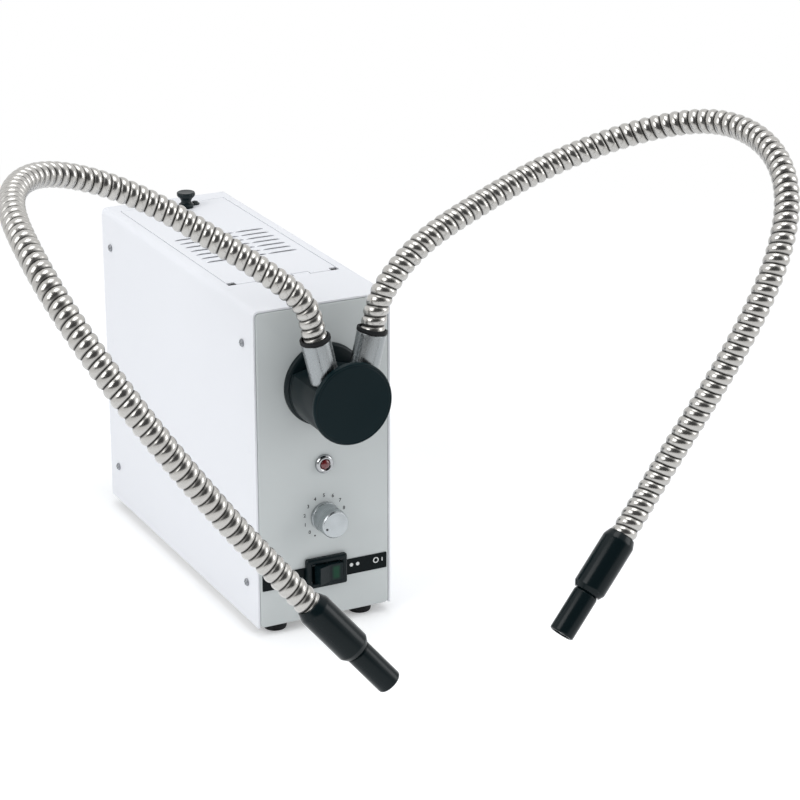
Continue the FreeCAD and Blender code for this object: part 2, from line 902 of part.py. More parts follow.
def nozzle_body(end, along):
    """Black grip at the end of an arm, tapered at the back and stepped at the front."""
    profile = [
        (nozzle_bore_radius, 0), (nozzle_back_radius, 0), (nozzle_radius, nozzle_back_taper),
        (nozzle_radius, nozzle_length - nozzle_front_taper), (tip_radius, nozzle_length),
        (nozzle_bore_radius, nozzle_length),
    ]
    return turned(profile, tuple(end), tuple(along))


def nozzle_tip(end, along):
    """Slim front sleeve, with a spigot back into the grip."""
    start = end + along * nozzle_length
    lens_floor = tip_length - tip_lens_inset - tip_lens_thickness
    lens_seat = tip_bore_radius + tip_lens_seat
    profile = [
        (tip_bore_radius, -tip_spigot_length), (tip_spigot_radius, -tip_spigot_length),
        (tip_spigot_radius, 0), (tip_radius, 0), (tip_radius, tip_length - tip_edge),
        (tip_radius - tip_edge, tip_length), (lens_seat, tip_length), (lens_seat, lens_floor),
        (tip_bore_radius, lens_floor),
    ]
    return turned(profile, tuple(start), tuple(along))


def nozzle_lens(end, along):
    """Glass disc in the tip, slightly domed in front."""
    radius = tip_bore_radius + tip_lens_seat - fit_gap
    start = end + along * (nozzle_length + tip_length - tip_lens_inset - tip_lens_thickness)
    profile = [
        (0, 0), (radius, 0), (radius, tip_lens_thickness - tip_lens_dome),
        (radius * 0.6, tip_lens_thickness - tip_lens_dome * 0.2), (0, tip_lens_thickness),
    ]
    return turned(profile, tuple(start), tuple(along))


# Front controls

def indicator_bezel():
    """Bright ring and threaded barrel of the lamp indicator."""
    flat = indicator_bezel_height
    seat = indicator_lens_radius + fit_gap
    profile = [
        (seat, -indicator_seat_depth), (seat, flat), (indicator_bezel_radius - indicator_bezel_bevel, flat),
        (indicator_bezel_radius, flat - indicator_bezel_rim),
        (indicator_bezel_radius, 0), (indicator_barrel_radius, 0),
        (indicator_barrel_radius, -indicator_barrel_length), (0, -indicator_barrel_length),
        (0, -indicator_seat_depth),
    ]
    return turned(profile, (0, panel_front, indicator_z), (0, -1, 0))


def indicator_lens():
    """Red domed lens."""
    flat = indicator_bezel_height
    back = fit_gap - indicator_seat_depth
    profile = [(0, back), (indicator_lens_radius, back), (indicator_lens_radius, flat)]
    steps = 4
    for step in range(1, steps + 1):
        angle = math.radians(90 * step / steps)
        radius = indicator_lens_radius * math.cos(angle)
        profile.append((max(radius, 0), flat + indicator_lens_rise * math.sin(angle)))
    return turned(profile, (0, panel_front, indicator_z), (0, -1, 0))


def hexagon(radius, thickness, hole, start):
    """Hexagon nut with its axis along Y."""
    x, y, z = start
    corners = []
    for step in range(7):
        angle = math.radians(60 * step)
        corners.append(V(x + radius * math.cos(angle), y, z + radius * math.sin(angle)))
    nut = Part.Face(Part.makePolygon(corners)).extrude(V(0, thickness, 0))
    return nut.cut(rod(hole, thickness, start, (0, 1, 0)))


def panel_nuts():
    """The ring nut of the socket and the hexagon nuts of the indicator and the dimmer control."""
    ring_hole = socket_tube_radius + running_gap
    ring = tube(socket_nut_radius, ring_hole, socket_nut_thickness, (0, panel_back, lamp_z), (0, 1, 0))
    indicator_hole = indicator_barrel_radius + running_gap
    indicator = hexagon(indicator_nut_radius, indicator_nut_thickness, indicator_hole,
                        (0, panel_back, indicator_z))
    control = hexagon(pot_nut_radius, pot_nut_thickness, bushing_radius + running_gap,
                      (0, panel_front - pot_nut_thickness, knob_z))
    return group([ring, indicator, control])


def intensity_knob():
    """Aluminium dial knob, hollow behind to clear the nut, with a small mark on its face."""
    back = panel_front - knob_gap
    bore = shaft_radius + knob_shaft_fit
    profile = [
        (bore, knob_bore_depth + knob_cavity_depth), (0, knob_bore_depth + knob_cavity_depth),
        (0, knob_height), (knob_front_radius - knob_edge, knob_height),
        (knob_front_radius, knob_height - knob_edge), (knob_radius, 0), (knob_cavity_radius, 0),
        (knob_cavity_radius, knob_cavity_depth), (bore, knob_cavity_depth),
    ]
    knob = turned(profile, (0, back, knob_z), (0, -1, 0))
    angle = math.radians(knob_mark_angle)
    x = knob_mark_at * math.cos(angle)
    z = knob_z + knob_mark_at * math.sin(angle)
    face_y = back - knob_height
    return knob.cut(rod(knob_mark_radius, knob_mark_depth, (x, face_y + knob_mark_depth, z), (0, -1, 0)))


def control_shaft():
    front = panel_front - knob_gap - knob_cavity_depth - knob_bore_depth + shaft_end_gap
    back = panel_back + bushing_length + shaft_tail
    return rod(shaft_radius, back - front, (0, front, knob_z), (0, 1, 0))


def potentiometer():
    """Dimmer control behind the panel, with a threaded bush through it."""
    body_y = panel_back + fit_gap
    case = rod(pot_radius, pot_length, (0, body_y, knob_z), (0, 1, 0))
    bush_front = panel_front - bushing_length
    bush = rod(bushing_radius, body_y - bush_front, (0, bush_front, knob_z), (0, 1, 0))
    depth = pot_length - panel_sheet + body_y - bush_front
    hole = rod(shaft_radius + running_gap, depth, (0, bush_front, knob_z), (0, 1, 0))
    return joined([case, bush]).cut(hole)


def trim_band():
    """Thin black strip across the panel, open where the switch goes through."""
    back = panel_front
    strip = box(-band_half, band_half, back - band_thickness, back,
                band_z - band_height / 2, band_z + band_height / 2)
    half = switch_body_width / 2 + hole_clearance
    tall = switch_body_height / 2 + hole_clearance
    return strip.cut(box(-half, half, back - 1, back + 1, switch_z - tall, switch_z + tall))


def switch_housing():
    """Frame and body of the mains switch, with a well for the rocker."""
    frame_back = panel_front - band_thickness
    frame_front = frame_back - switch_proud
    half = switch_width / 2
    tall = switch_height / 2
    frame = box(-half, half, frame_front, frame_back, switch_z - tall, switch_z + tall)
    in_front = lambda middle: abs(middle.y - frame_front) < 0.01
    rim = edges_along(frame, (1, 0, 0), in_front) + edges_along(frame, (0, 0, 1), in_front)
    frame = frame.makeChamfer(switch_edge, rim)
    body_half = switch_body_width / 2
    body_tall = switch_body_height / 2
    body = box(-body_half, body_half, frame_back, frame_back + switch_body_depth,
               switch_z - body_tall, switch_z + body_tall)
    well_half = switch_opening_width / 2
    well_tall = switch_opening_height / 2
    well = box(-well_half, well_half, frame_front - 1, frame_front + switch_well_depth,
               switch_z - well_tall, switch_z + well_tall)
    pivot = rocker_pivot()
    reach = rocker_height / 2 + trunnion_reach + fit_gap
    socket = rod(trunnion_radius + running_gap, 2 * reach, (0, pivot, switch_z - reach), (0, 0, 1))
    return joined([frame, body]).cut([well, socket])


def rocker_pivot():
    """The rocker's pivot lies a little behind the frame's front."""
    return panel_front - band_thickness - switch_proud + rocker_pivot_depth


def switch_rocker():
    """Rocker with a shallow valley across its face, tilted to the pressed side."""
    half = rocker_length / 2
    outline = [
        (-half, -rocker_end_rise), (0, -rocker_middle_rise), (half, -rocker_end_rise),
        (half, rocker_end_depth), (half * rocker_keel_share, rocker_keel_depth),
        (-half * rocker_keel_share, rocker_keel_depth), (-half, rocker_end_depth),
    ]
    tall = rocker_height / 2
    points = [V(x, y, -tall) for x, y in outline]
    points.append(points[0])
    blade = Part.Face(Part.makePolygon(points)).extrude(V(0, 0, rocker_height))
    reach = tall + trunnion_reach
    blade = joined([blade, rod(trunnion_radius, 2 * reach, (0, 0, -reach), (0, 0, 1))])
    blade.Placement = FreeCAD.Placement(
        V(0, rocker_pivot(), switch_z), FreeCAD.Rotation(V(0, 0, 1), rocker_tilt)
    )
    return blade


# Lamp hatch

def louvre_places():
    places = []
    for column in (-1, 0, 1):
        for row in range(louvre_rows):
            places.append((column * louvre_column_pitch, hatch_seam_y + louvre_start + row * louvre_pitch))
    return places


def hatch_lid():
    """Lid over the lamp, with pressed louvres, turned-down sides and two hinge eyes."""
    front = hatch_seam_y + hinge_gap
    plate = box(-hatch_half_width, hatch_half_width, front, hatch_rear_y, lid_bottom, case_top)
    pieces = [plate]
    lip_front = front + hatch_lip
    for side in (-1, 1):
        outer_x = side * hatch_half_width
        inner_x = side * (hatch_half_width - cover_sheet)
        pieces.append(box(min(outer_x, inner_x), max(outer_x, inner_x), lip_front, hatch_rear_y - hatch_lip,
                          lid_bottom - hatch_lip, lid_bottom))
        pieces += knuckle(side * knuckle_spread_lid, front, 1)
    for x, y in louvre_places():
        lip_y = y + louvre_width / 2
        pieces.append(box(x - louvre_length / 2, x + louvre_length / 2, lip_y, lip_y + louvre_lip,
                          lid_bottom, case_top + louvre_rise))
    lid = joined(pieces)
    cuts = [pin_bore()]
    for x, y in louvre_places():
        half = louvre_length / 2
        cuts.append(box(x - half, x + half, y - louvre_width / 2, y + louvre_width / 2,
                        lid_bottom - 1, case_top + 1))
    cuts.append(stud_hole(stud_clearance))
    cuts.append(rivet_hole(fit_gap))
    return lid.cut(cuts)


def hatch_hinge_pin():
    """Steel wire with a ball at each end, seen in the seam."""
    wire = rod(hinge_pin_radius, 2 * pin_half_length, (-pin_half_length, hatch_seam_y, hinge_z), (1, 0, 0))
    balls = [
        Part.makeSphere(pin_ball_radius, V(side * pin_half_length, hatch_seam_y, hinge_z))
        for side in (-1, 1)
    ]
    return joined([wire] + balls)


def hatch_knob():
    """Flared thumb knob with a plain stud below."""
    top = hatch_knob_height
    lift = strap_thickness + hatch_knob_lift
    profile = [
        (0, lift), (hatch_knob_foot_radius, lift), (hatch_knob_foot_radius, lift + hatch_knob_foot_height),
        (hatch_knob_waist_radius, lift + hatch_knob_waist_rise),
        (hatch_knob_flare_radius, hatch_knob_flare_height),
        (hatch_knob_head_radius, top - hatch_knob_head_height),
        (hatch_knob_head_radius, top - hatch_knob_edge), (hatch_knob_head_radius - hatch_knob_edge, top),
        (0, top),
    ]
    head = turned(profile, (hatch_knob_x, hatch_knob_y, case_top), (0, 0, 1))
    length = stud_length + lift
    stud = rod(stud_radius, length, (hatch_knob_x, hatch_knob_y, case_top + lift), (0, 0, -1))
    return joined([head, stud])


def strap_end():
    """Where the strap is snapped into the lid, beside the knob."""
    return (hatch_knob_x + strap_reach_x, hatch_knob_y + strap_reach_y)


def knob_strap():
    """Flat moulded strap: an eye round the stud and a snap rivet into the lid."""
    rivet_at = strap_end()
    base = V(hatch_knob_x, hatch_knob_y, case_top)
    top = V(rivet_at[0], rivet_at[1], case_top)
    along = top - base
    link = Part.makeBox(along.Length, strap_width, strap_thickness, V(0, -strap_width / 2, 0))
    link.Placement = FreeCAD.Placement(base, FreeCAD.Rotation(V(1, 0, 0), along))
    eye = rod(hatch_knob_foot_radius, strap_thickness, tuple(base), (0, 0, 1))
    end = rod(rivet_radius + rivet_pad, strap_thickness, tuple(top), (0, 0, 1))
    shank = strap_thickness + cover_sheet + rivet_tail
    profile = [
        (0, -shank), (rivet_radius / 2, -shank), (rivet_radius / 2, 0), (rivet_radius, 0),
        (rivet_radius * 0.8, rivet_height * 0.6), (rivet_radius * 0.4, rivet_height), (0, rivet_height),
    ]
    rivet = turned(profile, (rivet_at[0], rivet_at[1], case_top + strap_thickness), (0, 0, 1))
    hole = rod(stud_radius + stud_clearance, strap_thickness, tuple(base), (0, 0, 1))
    return joined([link, eye, end, rivet]).cut(hole)


# Lamp house

def lamp_rear_y():
    """The face of the lamp holder that its bracket carries."""
    return lamp_seat_y + reflector_depth + lamp_base_depth + holder_depth


def lamp_bracket():
    """Folded plate: the wall with the filter in front, a strip below and the holder's post."""
    wall_half = inner_half - baffle_side_gap
    wall = box(-wall_half, wall_half, baffle_y, lamp_wall_back, base_top, case_top - baffle_top_gap)
    half = holder_post_width / 2
    post_y = lamp_rear_y()
    strip = box(-half, half, baffle_y, post_y + bracket_sheet, base_top, base_top + bracket_sheet)
    post = box(-half, half, post_y, post_y + bracket_sheet, base_top, lamp_z + holder_height / 2)
    hole = rod(baffle_hole_radius, bracket_sheet + 2, (0, baffle_y - 1, lamp_z), (0, 1, 0))
    return joined([wall, strip, post]).cut(hole)


def heat_filter():
    """Glass disc that keeps the heat off the fibre."""
    return rod(filter_radius, filter_thickness, (0, lamp_wall_back, lamp_z), (0, -1, 0))


def reflector_radius_at(share):
    """Bowl from the neck to the rim, steepest at the neck."""
    return reflector_neck_radius + (reflector_radius - reflector_neck_radius) * math.sqrt(share)


def lamp_reflector():
    """Glass bowl of the halogen lamp with its rim against the plate."""
    outer = []
    inner = []
    steps = 6
    for step in range(steps + 1):
        share = step / steps
        height = reflector_depth * (1 - share)
        outer.append((reflector_radius_at(share), height))
        inner.append((reflector_radius_at(share) - reflector_wall, height))
    profile = outer + list(reversed(inner))
    return turned(profile, (0, lamp_seat_y, lamp_z), (0, 1, 0))


def lamp_capsule():
    """Quartz capsule on its ceramic base behind the bowl."""
    neck_y = lamp_seat_y + reflector_depth
    base = box(-lamp_base_width / 2, lamp_base_width / 2, neck_y, neck_y + lamp_base_depth,
               lamp_z - lamp_base_width / 2, lamp_z + lamp_base_width / 2)
    shoulder = capsule_length - capsule_radius
    profile = [
        (0, 0), (capsule_radius, 0), (capsule_radius, shoulder),
        (capsule_radius * 0.7, capsule_length - capsule_radius * 0.3), (0, capsule_length),
    ]
    capsule = turned(profile, (0, neck_y, lamp_z), (0, -1, 0))
    return joined([base, capsule])


def lamp_holder():
    """Ceramic block that the lamp plugs into."""
    rear = lamp_rear_y()
    return box(-holder_width / 2, holder_width / 2, rear - holder_depth, rear,
               lamp_z - holder_height / 2, lamp_z + holder_height / 2)


# Fan

def fan_frame():
    """Square fan housing with the motor seat on three arms."""
    half = fan_size / 2
    front = fan_front
    frame = box(-half, half, front, fan_back, lamp_z - half, lamp_z + half)
    frame = frame.cut(rod(fan_bore_radius, fan_depth + 2, (0, front - 1, lamp_z), (0, 1, 0)))
    pieces = [frame, rod(fan_hub_radius, fan_stator_height, (0, front, lamp_z), (0, 1, 0))]
    for step in range(3):
        strut = box(0, fan_bore_radius + 1, front, front + fan_stator_height,
                    -fan_strut_width / 2, fan_strut_width / 2)
        strut.Placement = FreeCAD.Placement(V(0, 0, lamp_z), FreeCAD.Rotation(V(0, 1, 0), 120 * step))
        pieces.append(strut)
    axle = rod(fan_axle_radius, fan_depth - fan_axle_end_gap, (0, front, lamp_z), (0, 1, 0))
    pieces.append(axle)
    body = joined(pieces)
    return body.cut([
        rod(fan_screw_radius, fan_depth + 2, (x, front - 1, z), (0, 1, 0)) for x, z in fan_screw_places()
    ])


def fan_rotor():
    """Hub with swept blades that turns on the axle."""
    front = fan_front + fan_stator_height + fan_rotor_gap
    depth = fan_depth - fan_stator_height - 2.5 * fan_rotor_gap
    hub = rod(fan_hub_radius, depth, (0, front, lamp_z), (0, 1, 0))
    swept = tube(fan_blade_reach, fan_hub_radius - 1, depth, (0, front, lamp_z), (0, 1, 0))
    pieces = [hub]
    for step in range(fan_blade_count):
        blade = box(fan_hub_radius - 1, fan_blade_reach + 2, -fan_blade_chord / 2, fan_blade_chord / 2,
                    -fan_blade_sheet / 2, fan_blade_sheet / 2)
        tilt = FreeCAD.Rotation(V(1, 0, 0), fan_blade_pitch)
        around = FreeCAD.Rotation(V(0, 1, 0), 360 * step / fan_blade_count)
        blade.Placement = FreeCAD.Placement(V(0, front + depth / 2, lamp_z), around.multiply(tilt))
        pieces.append(blade.common(swept))
    bore = rod(fan_axle_radius + running_gap, fan_depth, (0, front - 1, lamp_z), (0, 1, 0))
    return joined(pieces).cut(bore)


def fan_screws():
    screws = []
    for x, z in fan_screw_places():
        head = rod(fan_screw_head_radius, fan_screw_head_height, (x, rear_y, z), (0, 1, 0))
        length = panel_sheet + fan_depth * fan_screw_share
        shank = rod(fan_screw_radius - fit_gap, length, (x, rear_y, z), (0, -1, 0))
        screws.append(joined([head, shank]))
    return group(screws)


# Mains inlet and fuse

def mains_inlet():
    """Recessed three pin inlet."""
    half = inlet_flange_width / 2
    tall = inlet_flange_height / 2
    outside = rear_y + inlet_flange_thickness
    flange = box(inlet_x - half, inlet_x + half, rear_y, outside, inlet_z - tall, inlet_z + tall)
    across = lambda middle: abs(abs(middle.x - inlet_x) - half) < 0.01
    flange = flange.makeFillet(inlet_corner_radius, edges_along(flange, (0, 1, 0), across))
    body_half = inlet_body_width / 2
    body_tall = inlet_body_height / 2
    body = box(inlet_x - body_half, inlet_x + body_half, rear_y - inlet_body_depth, rear_y,
               inlet_z - body_tall, inlet_z + body_tall)
    well_half = inlet_well_width / 2
    well_tall = inlet_well_height / 2
    well = box(inlet_x - well_half, inlet_x + well_half, outside - inlet_well_depth, outside + 1,
               inlet_z - well_tall, inlet_z + well_tall)
    shell = joined([flange, body]).cut(well)
    floor = outside - inlet_well_depth
    blades = []
    for column, row in ((-1, -1), (0, 1), (1, -1)):
        left = inlet_x + column * inlet_blade_spread - inlet_blade_sheet / 2
        low = inlet_z + row * inlet_blade_step - inlet_blade_width / 2
        blades.append(box(left, left + inlet_blade_sheet, floor - 1, floor + inlet_blade_length,
                          low, low + inlet_blade_width))
    return joined([shell] + blades)


def fuse_holder():
    profile = [
        (fuse_bore_radius, fuse_flange_thickness), (fuse_flange_radius, fuse_flange_thickness),
        (fuse_flange_radius, 0), (fuse_body_radius, 0), (fuse_body_radius, -fuse_body_length),
        (0, -fuse_body_length), (0, fuse_floor - fuse_body_length),
        (fuse_bore_radius, fuse_floor - fuse_body_length),
    ]
    return turned(profile, (fuse_x, rear_y, inlet_z), (0, 1, 0))


def fuse_cap():
    """Bayonet cap with a driver slot, and the plug that holds the fuse."""
    seat = fuse_flange_thickness + fuse_seat_gap
    plug = fuse_bore_radius - fit_gap
    head = seat + fuse_cap_height
    profile = [
        (0, -fuse_plug_length), (plug, -fuse_plug_length), (plug, seat), (fuse_cap_radius, seat),
        (fuse_cap_radius, head - fuse_cap_edge), (fuse_cap_radius - fuse_cap_edge, head), (0, head),
    ]
    cap = turned(profile, (fuse_x, rear_y, inlet_z), (0, 1, 0))
    top = rear_y + head
    slot = box(fuse_x - fuse_cap_radius, fuse_x + fuse_cap_radius, top - fuse_slot_depth, top + 1,
               inlet_z - fuse_slot_width / 2, inlet_z + fuse_slot_width / 2)
    nest = rod(fuse_link_radius, fuse_nest_depth, (fuse_x, rear_y - fuse_plug_length, inlet_z), (0, 1, 0))
    return cap.cut([slot, nest])


def fuse_link():
    """Glass fuse between the cap and the holder's floor."""
    start = rear_y - fuse_body_length + fuse_floor + fit_gap
    return rod(fuse_link_radius - fit_gap, fuse_link_length, (fuse_x, start, inlet_z), (0, 1, 0))


# Power electronics

def transformer_core():
    """Laminated iron with two windows."""
    half = core_width / 2
    deep = core_depth / 2
    low = base_top
    core = box(-half, half, transformer_y - deep, transformer_y + deep, low, low + core_height)
    window_low = low + (core_height - core_window_height) / 2
    windows = []
    for side in (-1, 1):
        near = side * core_leg_half
        far = side * (core_leg_half + core_window_width)
        windows.append(box(
            min(near, far), max(near, far), transformer_y - deep - 1, transformer_y + deep + 1,
            window_low, window_low + core_window_height,
        ))
    return core.cut(windows)


def transformer_coil():
    """Wound copper in tape round the middle leg."""
    low = base_top + (core_height - core_window_height) / 2 + coil_gap
    high = low + core_window_height - 2 * coil_gap
    half = core_leg_half + core_window_width - coil_gap
    deep = core_depth / 2 + coil_overhang
    coil = box(-half, half, transformer_y - deep, transformer_y + deep, low, high)
    anywhere = lambda middle: True
    coil = coil.makeFillet(coil_corner_radius, edges_along(coil, (0, 0, 1), anywhere))
    leg_half = core_leg_half + coil_gap
    leg_deep = core_depth / 2 + coil_gap
    return coil.cut(box(-leg_half, leg_half, transformer_y - leg_deep, transformer_y + leg_deep,
                        low - 1, high + 1))


def transformer_strap():
    """Steel saddle over the core with a foot at each side."""
    half = core_width / 2 + coil_gap
    top = base_top + core_height + coil_gap
    deep = core_depth / 2 - strap_inset
    foot_end = inner_half - cover_sheet - strap_wall_gap
    outer = box(-half - strap_sheet, half + strap_sheet, transformer_y - deep, transformer_y + deep,
                base_top, top + strap_sheet)
    inner = box(-half, half, transformer_y - deep - 1, transformer_y + deep + 1, base_top - 1, top)
    arch = outer.cut(inner)
    feet = []
    for side in (-1, 1):
        near = side * half
        far = side * foot_end
        feet.append(box(min(near, far), max(near, far), transformer_y - deep, transformer_y + deep,
                        base_top, base_top + strap_sheet))
    return joined([arch] + feet)


def board_corners():
    half = board_width / 2 - standoff_inset
    deep = board_depth / 2 - standoff_inset
    return [(x, board_y + y) for x in (-half, half) for y in (-deep, deep)]


def dimmer_board():
    """Circuit board with its soldered parts: finned heat sink, power device, capacitor and choke."""
    low = base_top + standoff_height
    top = low + board_thickness
    plate = box(-board_width / 2, board_width / 2, board_y - board_depth / 2, board_y + board_depth / 2,
                low, top)
    half = heatsink_width / 2
    wall_y = board_y + heatsink_offset
    pieces = [plate, box(-half, half, wall_y, wall_y + heatsink_wall, top, top + heatsink_height)]
    pitch = (heatsink_width - heatsink_fin_sheet) / (heatsink_fin_count - 1)
    for step in range(heatsink_fin_count):
        x = -half + step * pitch
        fin_rear = wall_y + heatsink_wall + heatsink_fin_reach
        pieces.append(box(x, x + heatsink_fin_sheet, wall_y, fin_rear, top, top + heatsink_height))
    device_half = device_width / 2
    pieces.append(box(-device_half, device_half, wall_y - device_depth, wall_y, top, top + device_height))
    row_y = board_y - component_row_offset
    pieces.append(rod(capacitor_radius, capacitor_height, (-component_spread, row_y, top), (0, 0, 1)))
    choke_at = (component_spread, row_y, top)
    pieces.append(tube(choke_radius, choke_hole_radius, choke_height, choke_at, (0, 0, 1)))
    return joined(pieces)


def arm_nodes(name, side, route):
    """Every piece of one arm, by node name."""
    arm = Arm(side, route)
    end = arm.points[-1]
    along = (arm.points[-1] - arm.points[-2]).normalize()
    stops = [0, base_bend_end, lower_run_end, arch_bend_end, upper_run_end, rib_count]
    stretches = ["neck_base_bend", "neck_lower_run", "neck_arch_bend", "neck_upper_run", "neck_tip_bend"]
    nodes = {}
    for stretch, first, last in zip(stretches, stops, stops[1:]):
        nodes[name + "_" + stretch] = arm.hose(first, last)
    nodes[name + "_nozzle_body"] = nozzle_body(end, along)
    nodes[name + "_nozzle_tip"] = nozzle_tip(end, along)
    nodes[name + "_nozzle_lens"] = nozzle_lens(end, along)
    print(name, "arm length", round(arm.length, 1), "rib pitch", round(arm.pitch, 2))
    for first, last in ((0, base_bend_end), (lower_run_end, arch_bend_end), (upper_run_end, rib_count)):
        middle, direction = arm.locate((first + last) / 2 * arm.pitch)
        print("  bend middle", [round(value, 1) for value in middle],
              "direction", [round(value, 3) for value in direction])
    return nodes


def build():
    nodes = {
        "chassis_base": chassis_base(),
        "front_panel": front_panel(),
        "rear_panel": rear_panel(),
        "cover_shell": cover_shell(),
        "cover_screws": cover_screws(),
        "rubber_feet": rubber_feet(),
        "foot_screws": foot_screws(),
        "guide_socket": guide_socket(),
        "panel_nuts": panel_nuts(),
        "guide_nose": guide_nose(),
        "fibre_bundle": fibre_bundle(),
        "guide_head": guide_head(),
        "guide_cap": guide_cap(),
        "fibre_tails": fibre_tails(),
        "ferrules": group([ferrule(-1), ferrule(1)]),
        "ferrule_collars": group([ferrule_collar(-1), ferrule_collar(1)]),
        "indicator_bezel": indicator_bezel(),
        "indicator_lens": indicator_lens(),
        "intensity_knob": intensity_knob(),
        "control_shaft": control_shaft(),
        "potentiometer": potentiometer(),
        "trim_band": trim_band(),
        "switch_housing": switch_housing(),
        "switch_rocker": switch_rocker(),
        "hatch_lid": hatch_lid(),
        "hatch_hinge_pin": hatch_hinge_pin(),
        "hatch_knob": hatch_knob(),
        "knob_strap": knob_strap(),
        "lamp_bracket": lamp_bracket(),
        "heat_filter": heat_filter(),
        "lamp_reflector": lamp_reflector(),
        "lamp_capsule": lamp_capsule(),
        "lamp_holder": lamp_holder(),
        "fan_frame": fan_frame(),
        "fan_rotor": fan_rotor(),
        "fan_screws": fan_screws(),
        "mains_inlet": mains_inlet(),
        "fuse_holder": fuse_holder(),
        "fuse_cap": fuse_cap(),
        "fuse_link": fuse_link(),
        "transformer_core": transformer_core(),
        "transformer_coil": transformer_coil(),
        "transformer_strap": transformer_strap(),
        "dimmer_board": dimmer_board(),
    }
    nodes.update(arm_nodes("left", -1, left_route))
    nodes.update(arm_nodes("right", 1, right_route))
    return nodes


os.makedirs("parts", exist_ok=True)
for node_name, shape in build().items():
    if not shape.isValid():
        print("not valid:", node_name)
    shape.exportStep("parts/" + node_name + ".step")
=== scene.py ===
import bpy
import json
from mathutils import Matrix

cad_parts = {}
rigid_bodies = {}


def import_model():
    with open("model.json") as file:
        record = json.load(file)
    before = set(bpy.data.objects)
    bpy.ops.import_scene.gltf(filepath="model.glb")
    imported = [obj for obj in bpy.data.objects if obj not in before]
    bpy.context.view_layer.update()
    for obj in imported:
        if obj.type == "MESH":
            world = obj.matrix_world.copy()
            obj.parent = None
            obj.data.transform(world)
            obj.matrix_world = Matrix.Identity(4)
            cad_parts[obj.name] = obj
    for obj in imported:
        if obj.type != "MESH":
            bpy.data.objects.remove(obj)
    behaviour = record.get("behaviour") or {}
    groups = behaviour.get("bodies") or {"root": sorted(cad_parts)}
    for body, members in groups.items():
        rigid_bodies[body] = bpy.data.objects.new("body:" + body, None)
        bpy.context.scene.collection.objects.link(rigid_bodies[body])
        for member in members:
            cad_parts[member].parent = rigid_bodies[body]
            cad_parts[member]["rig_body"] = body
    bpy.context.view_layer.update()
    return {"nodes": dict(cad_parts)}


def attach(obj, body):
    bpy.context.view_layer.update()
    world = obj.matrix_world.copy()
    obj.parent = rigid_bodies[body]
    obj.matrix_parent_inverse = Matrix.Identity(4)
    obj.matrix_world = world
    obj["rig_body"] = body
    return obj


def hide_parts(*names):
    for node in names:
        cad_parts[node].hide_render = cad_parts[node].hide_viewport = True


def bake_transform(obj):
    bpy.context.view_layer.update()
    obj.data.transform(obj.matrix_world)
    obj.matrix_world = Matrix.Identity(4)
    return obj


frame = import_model()

import json
import math

import bmesh
import bpy
import numpy as np
from bpy.props import FloatProperty, FloatVectorProperty, IntProperty, PointerProperty
from mathutils import Matrix

bl_info = {
    "name": "Gooseneck light source",
    "version": (1, 0, 0),
    "blender": (4, 5, 0),
    "location": "View3D > Sidebar > Light source",
    "description": "Builds a bench light source with two bendable arms, piece by piece",
    "category": "Add Mesh",
}

# Centrelines of the arms in millimetres, from the ferrule to the nozzle, and the rib
# numbers where one stretch of hose ends and the next begins.
LEFT_ROUTE = [
    (-16, -142, 180), (-19, -142, 193), (-22, -142, 206), (-35, -136, 219),
    (-60, -118, 238), (-93, -97, 262), (-130, -92, 279), (-165, -109, 289),
    (-189, -145, 287), (-197, -191, 279), (-194, -233, 256), (-174, -261, 216),
    (-148, -272, 177), (-123, -275, 143), (-110, -278, 127), (-99, -282, 113),
    (-89, -285, 101),
]
RIGHT_ROUTE = [
    (16, -142, 180), (19, -142, 193), (22, -142, 206), (46, -141, 231),
    (82, -136, 244), (116, -131, 256), (153, -135, 269), (189, -151, 282),
    (213, -184, 292), (218, -227, 286), (207, -262, 266), (185, -279, 229),
    (158, -278, 183), (133, -272, 142), (121, -270, 122), (109, -273, 109),
    (99, -275, 98),
]
RIB_COUNT = 94
STRETCHES = (
    ("neck_base_bend", 0, 11),
    ("neck_lower_run", 11, 26),
    ("neck_arch_bend", 26, 46),
    ("neck_upper_run", 46, 76),
    ("neck_tip_bend", 76, 94),
)
CASE_TOP = 196.0
LAMP_Z = 148.3
FACE_Y = -115.0
KNOB_Z = 68.0
SWITCH_Z = 34.5
PANEL_MIDDLE_Z = 100.3


def distance(name, text, default):
    """A length property in metres."""
    return FloatProperty(name=name, description=text, default=default, subtype="DISTANCE", unit="LENGTH")


def colour(name, text, default):
    """A colour property."""
    return FloatVectorProperty(name=name, description=text, default=default, subtype="COLOR", min=0.0, max=1.0)


class LightSourceSizes(bpy.types.PropertyGroup):
    """Sizes that a user would change"""

    hose_radius: distance("Hose radius", "Outer radius of the ribbed hose", 0.007)
    groove_depth: distance("Groove depth", "How deep the groove between two ribs is", 0.0013)
    hose_bore: distance("Hose bore", "Inner radius of the hose", 0.005)
    hose_sides: IntProperty(name="Hose sides", description="Points round the hose", default=28, min=8)
    head_radius: distance("Splitter radius", "Radius of the round splitter block", 0.0228)
    cap_radius: distance("Cap radius", "Radius of the splitter's front disc", 0.0238)
    grip_radius: distance("Nozzle radius", "Radius of the nozzle's grip", 0.009)
    tip_radius: distance("Tip radius", "Radius of the nozzle's slim end", 0.00685)
    knob_radius: distance("Dial radius", "Radius of the dial knob at its base", 0.0087)
    panel_corner: distance("Panel corner", "Corner radius of the front panel", 0.0025)
    cover_corner: distance("Cover corner", "Radius of the cover's top edges", 0.0035)


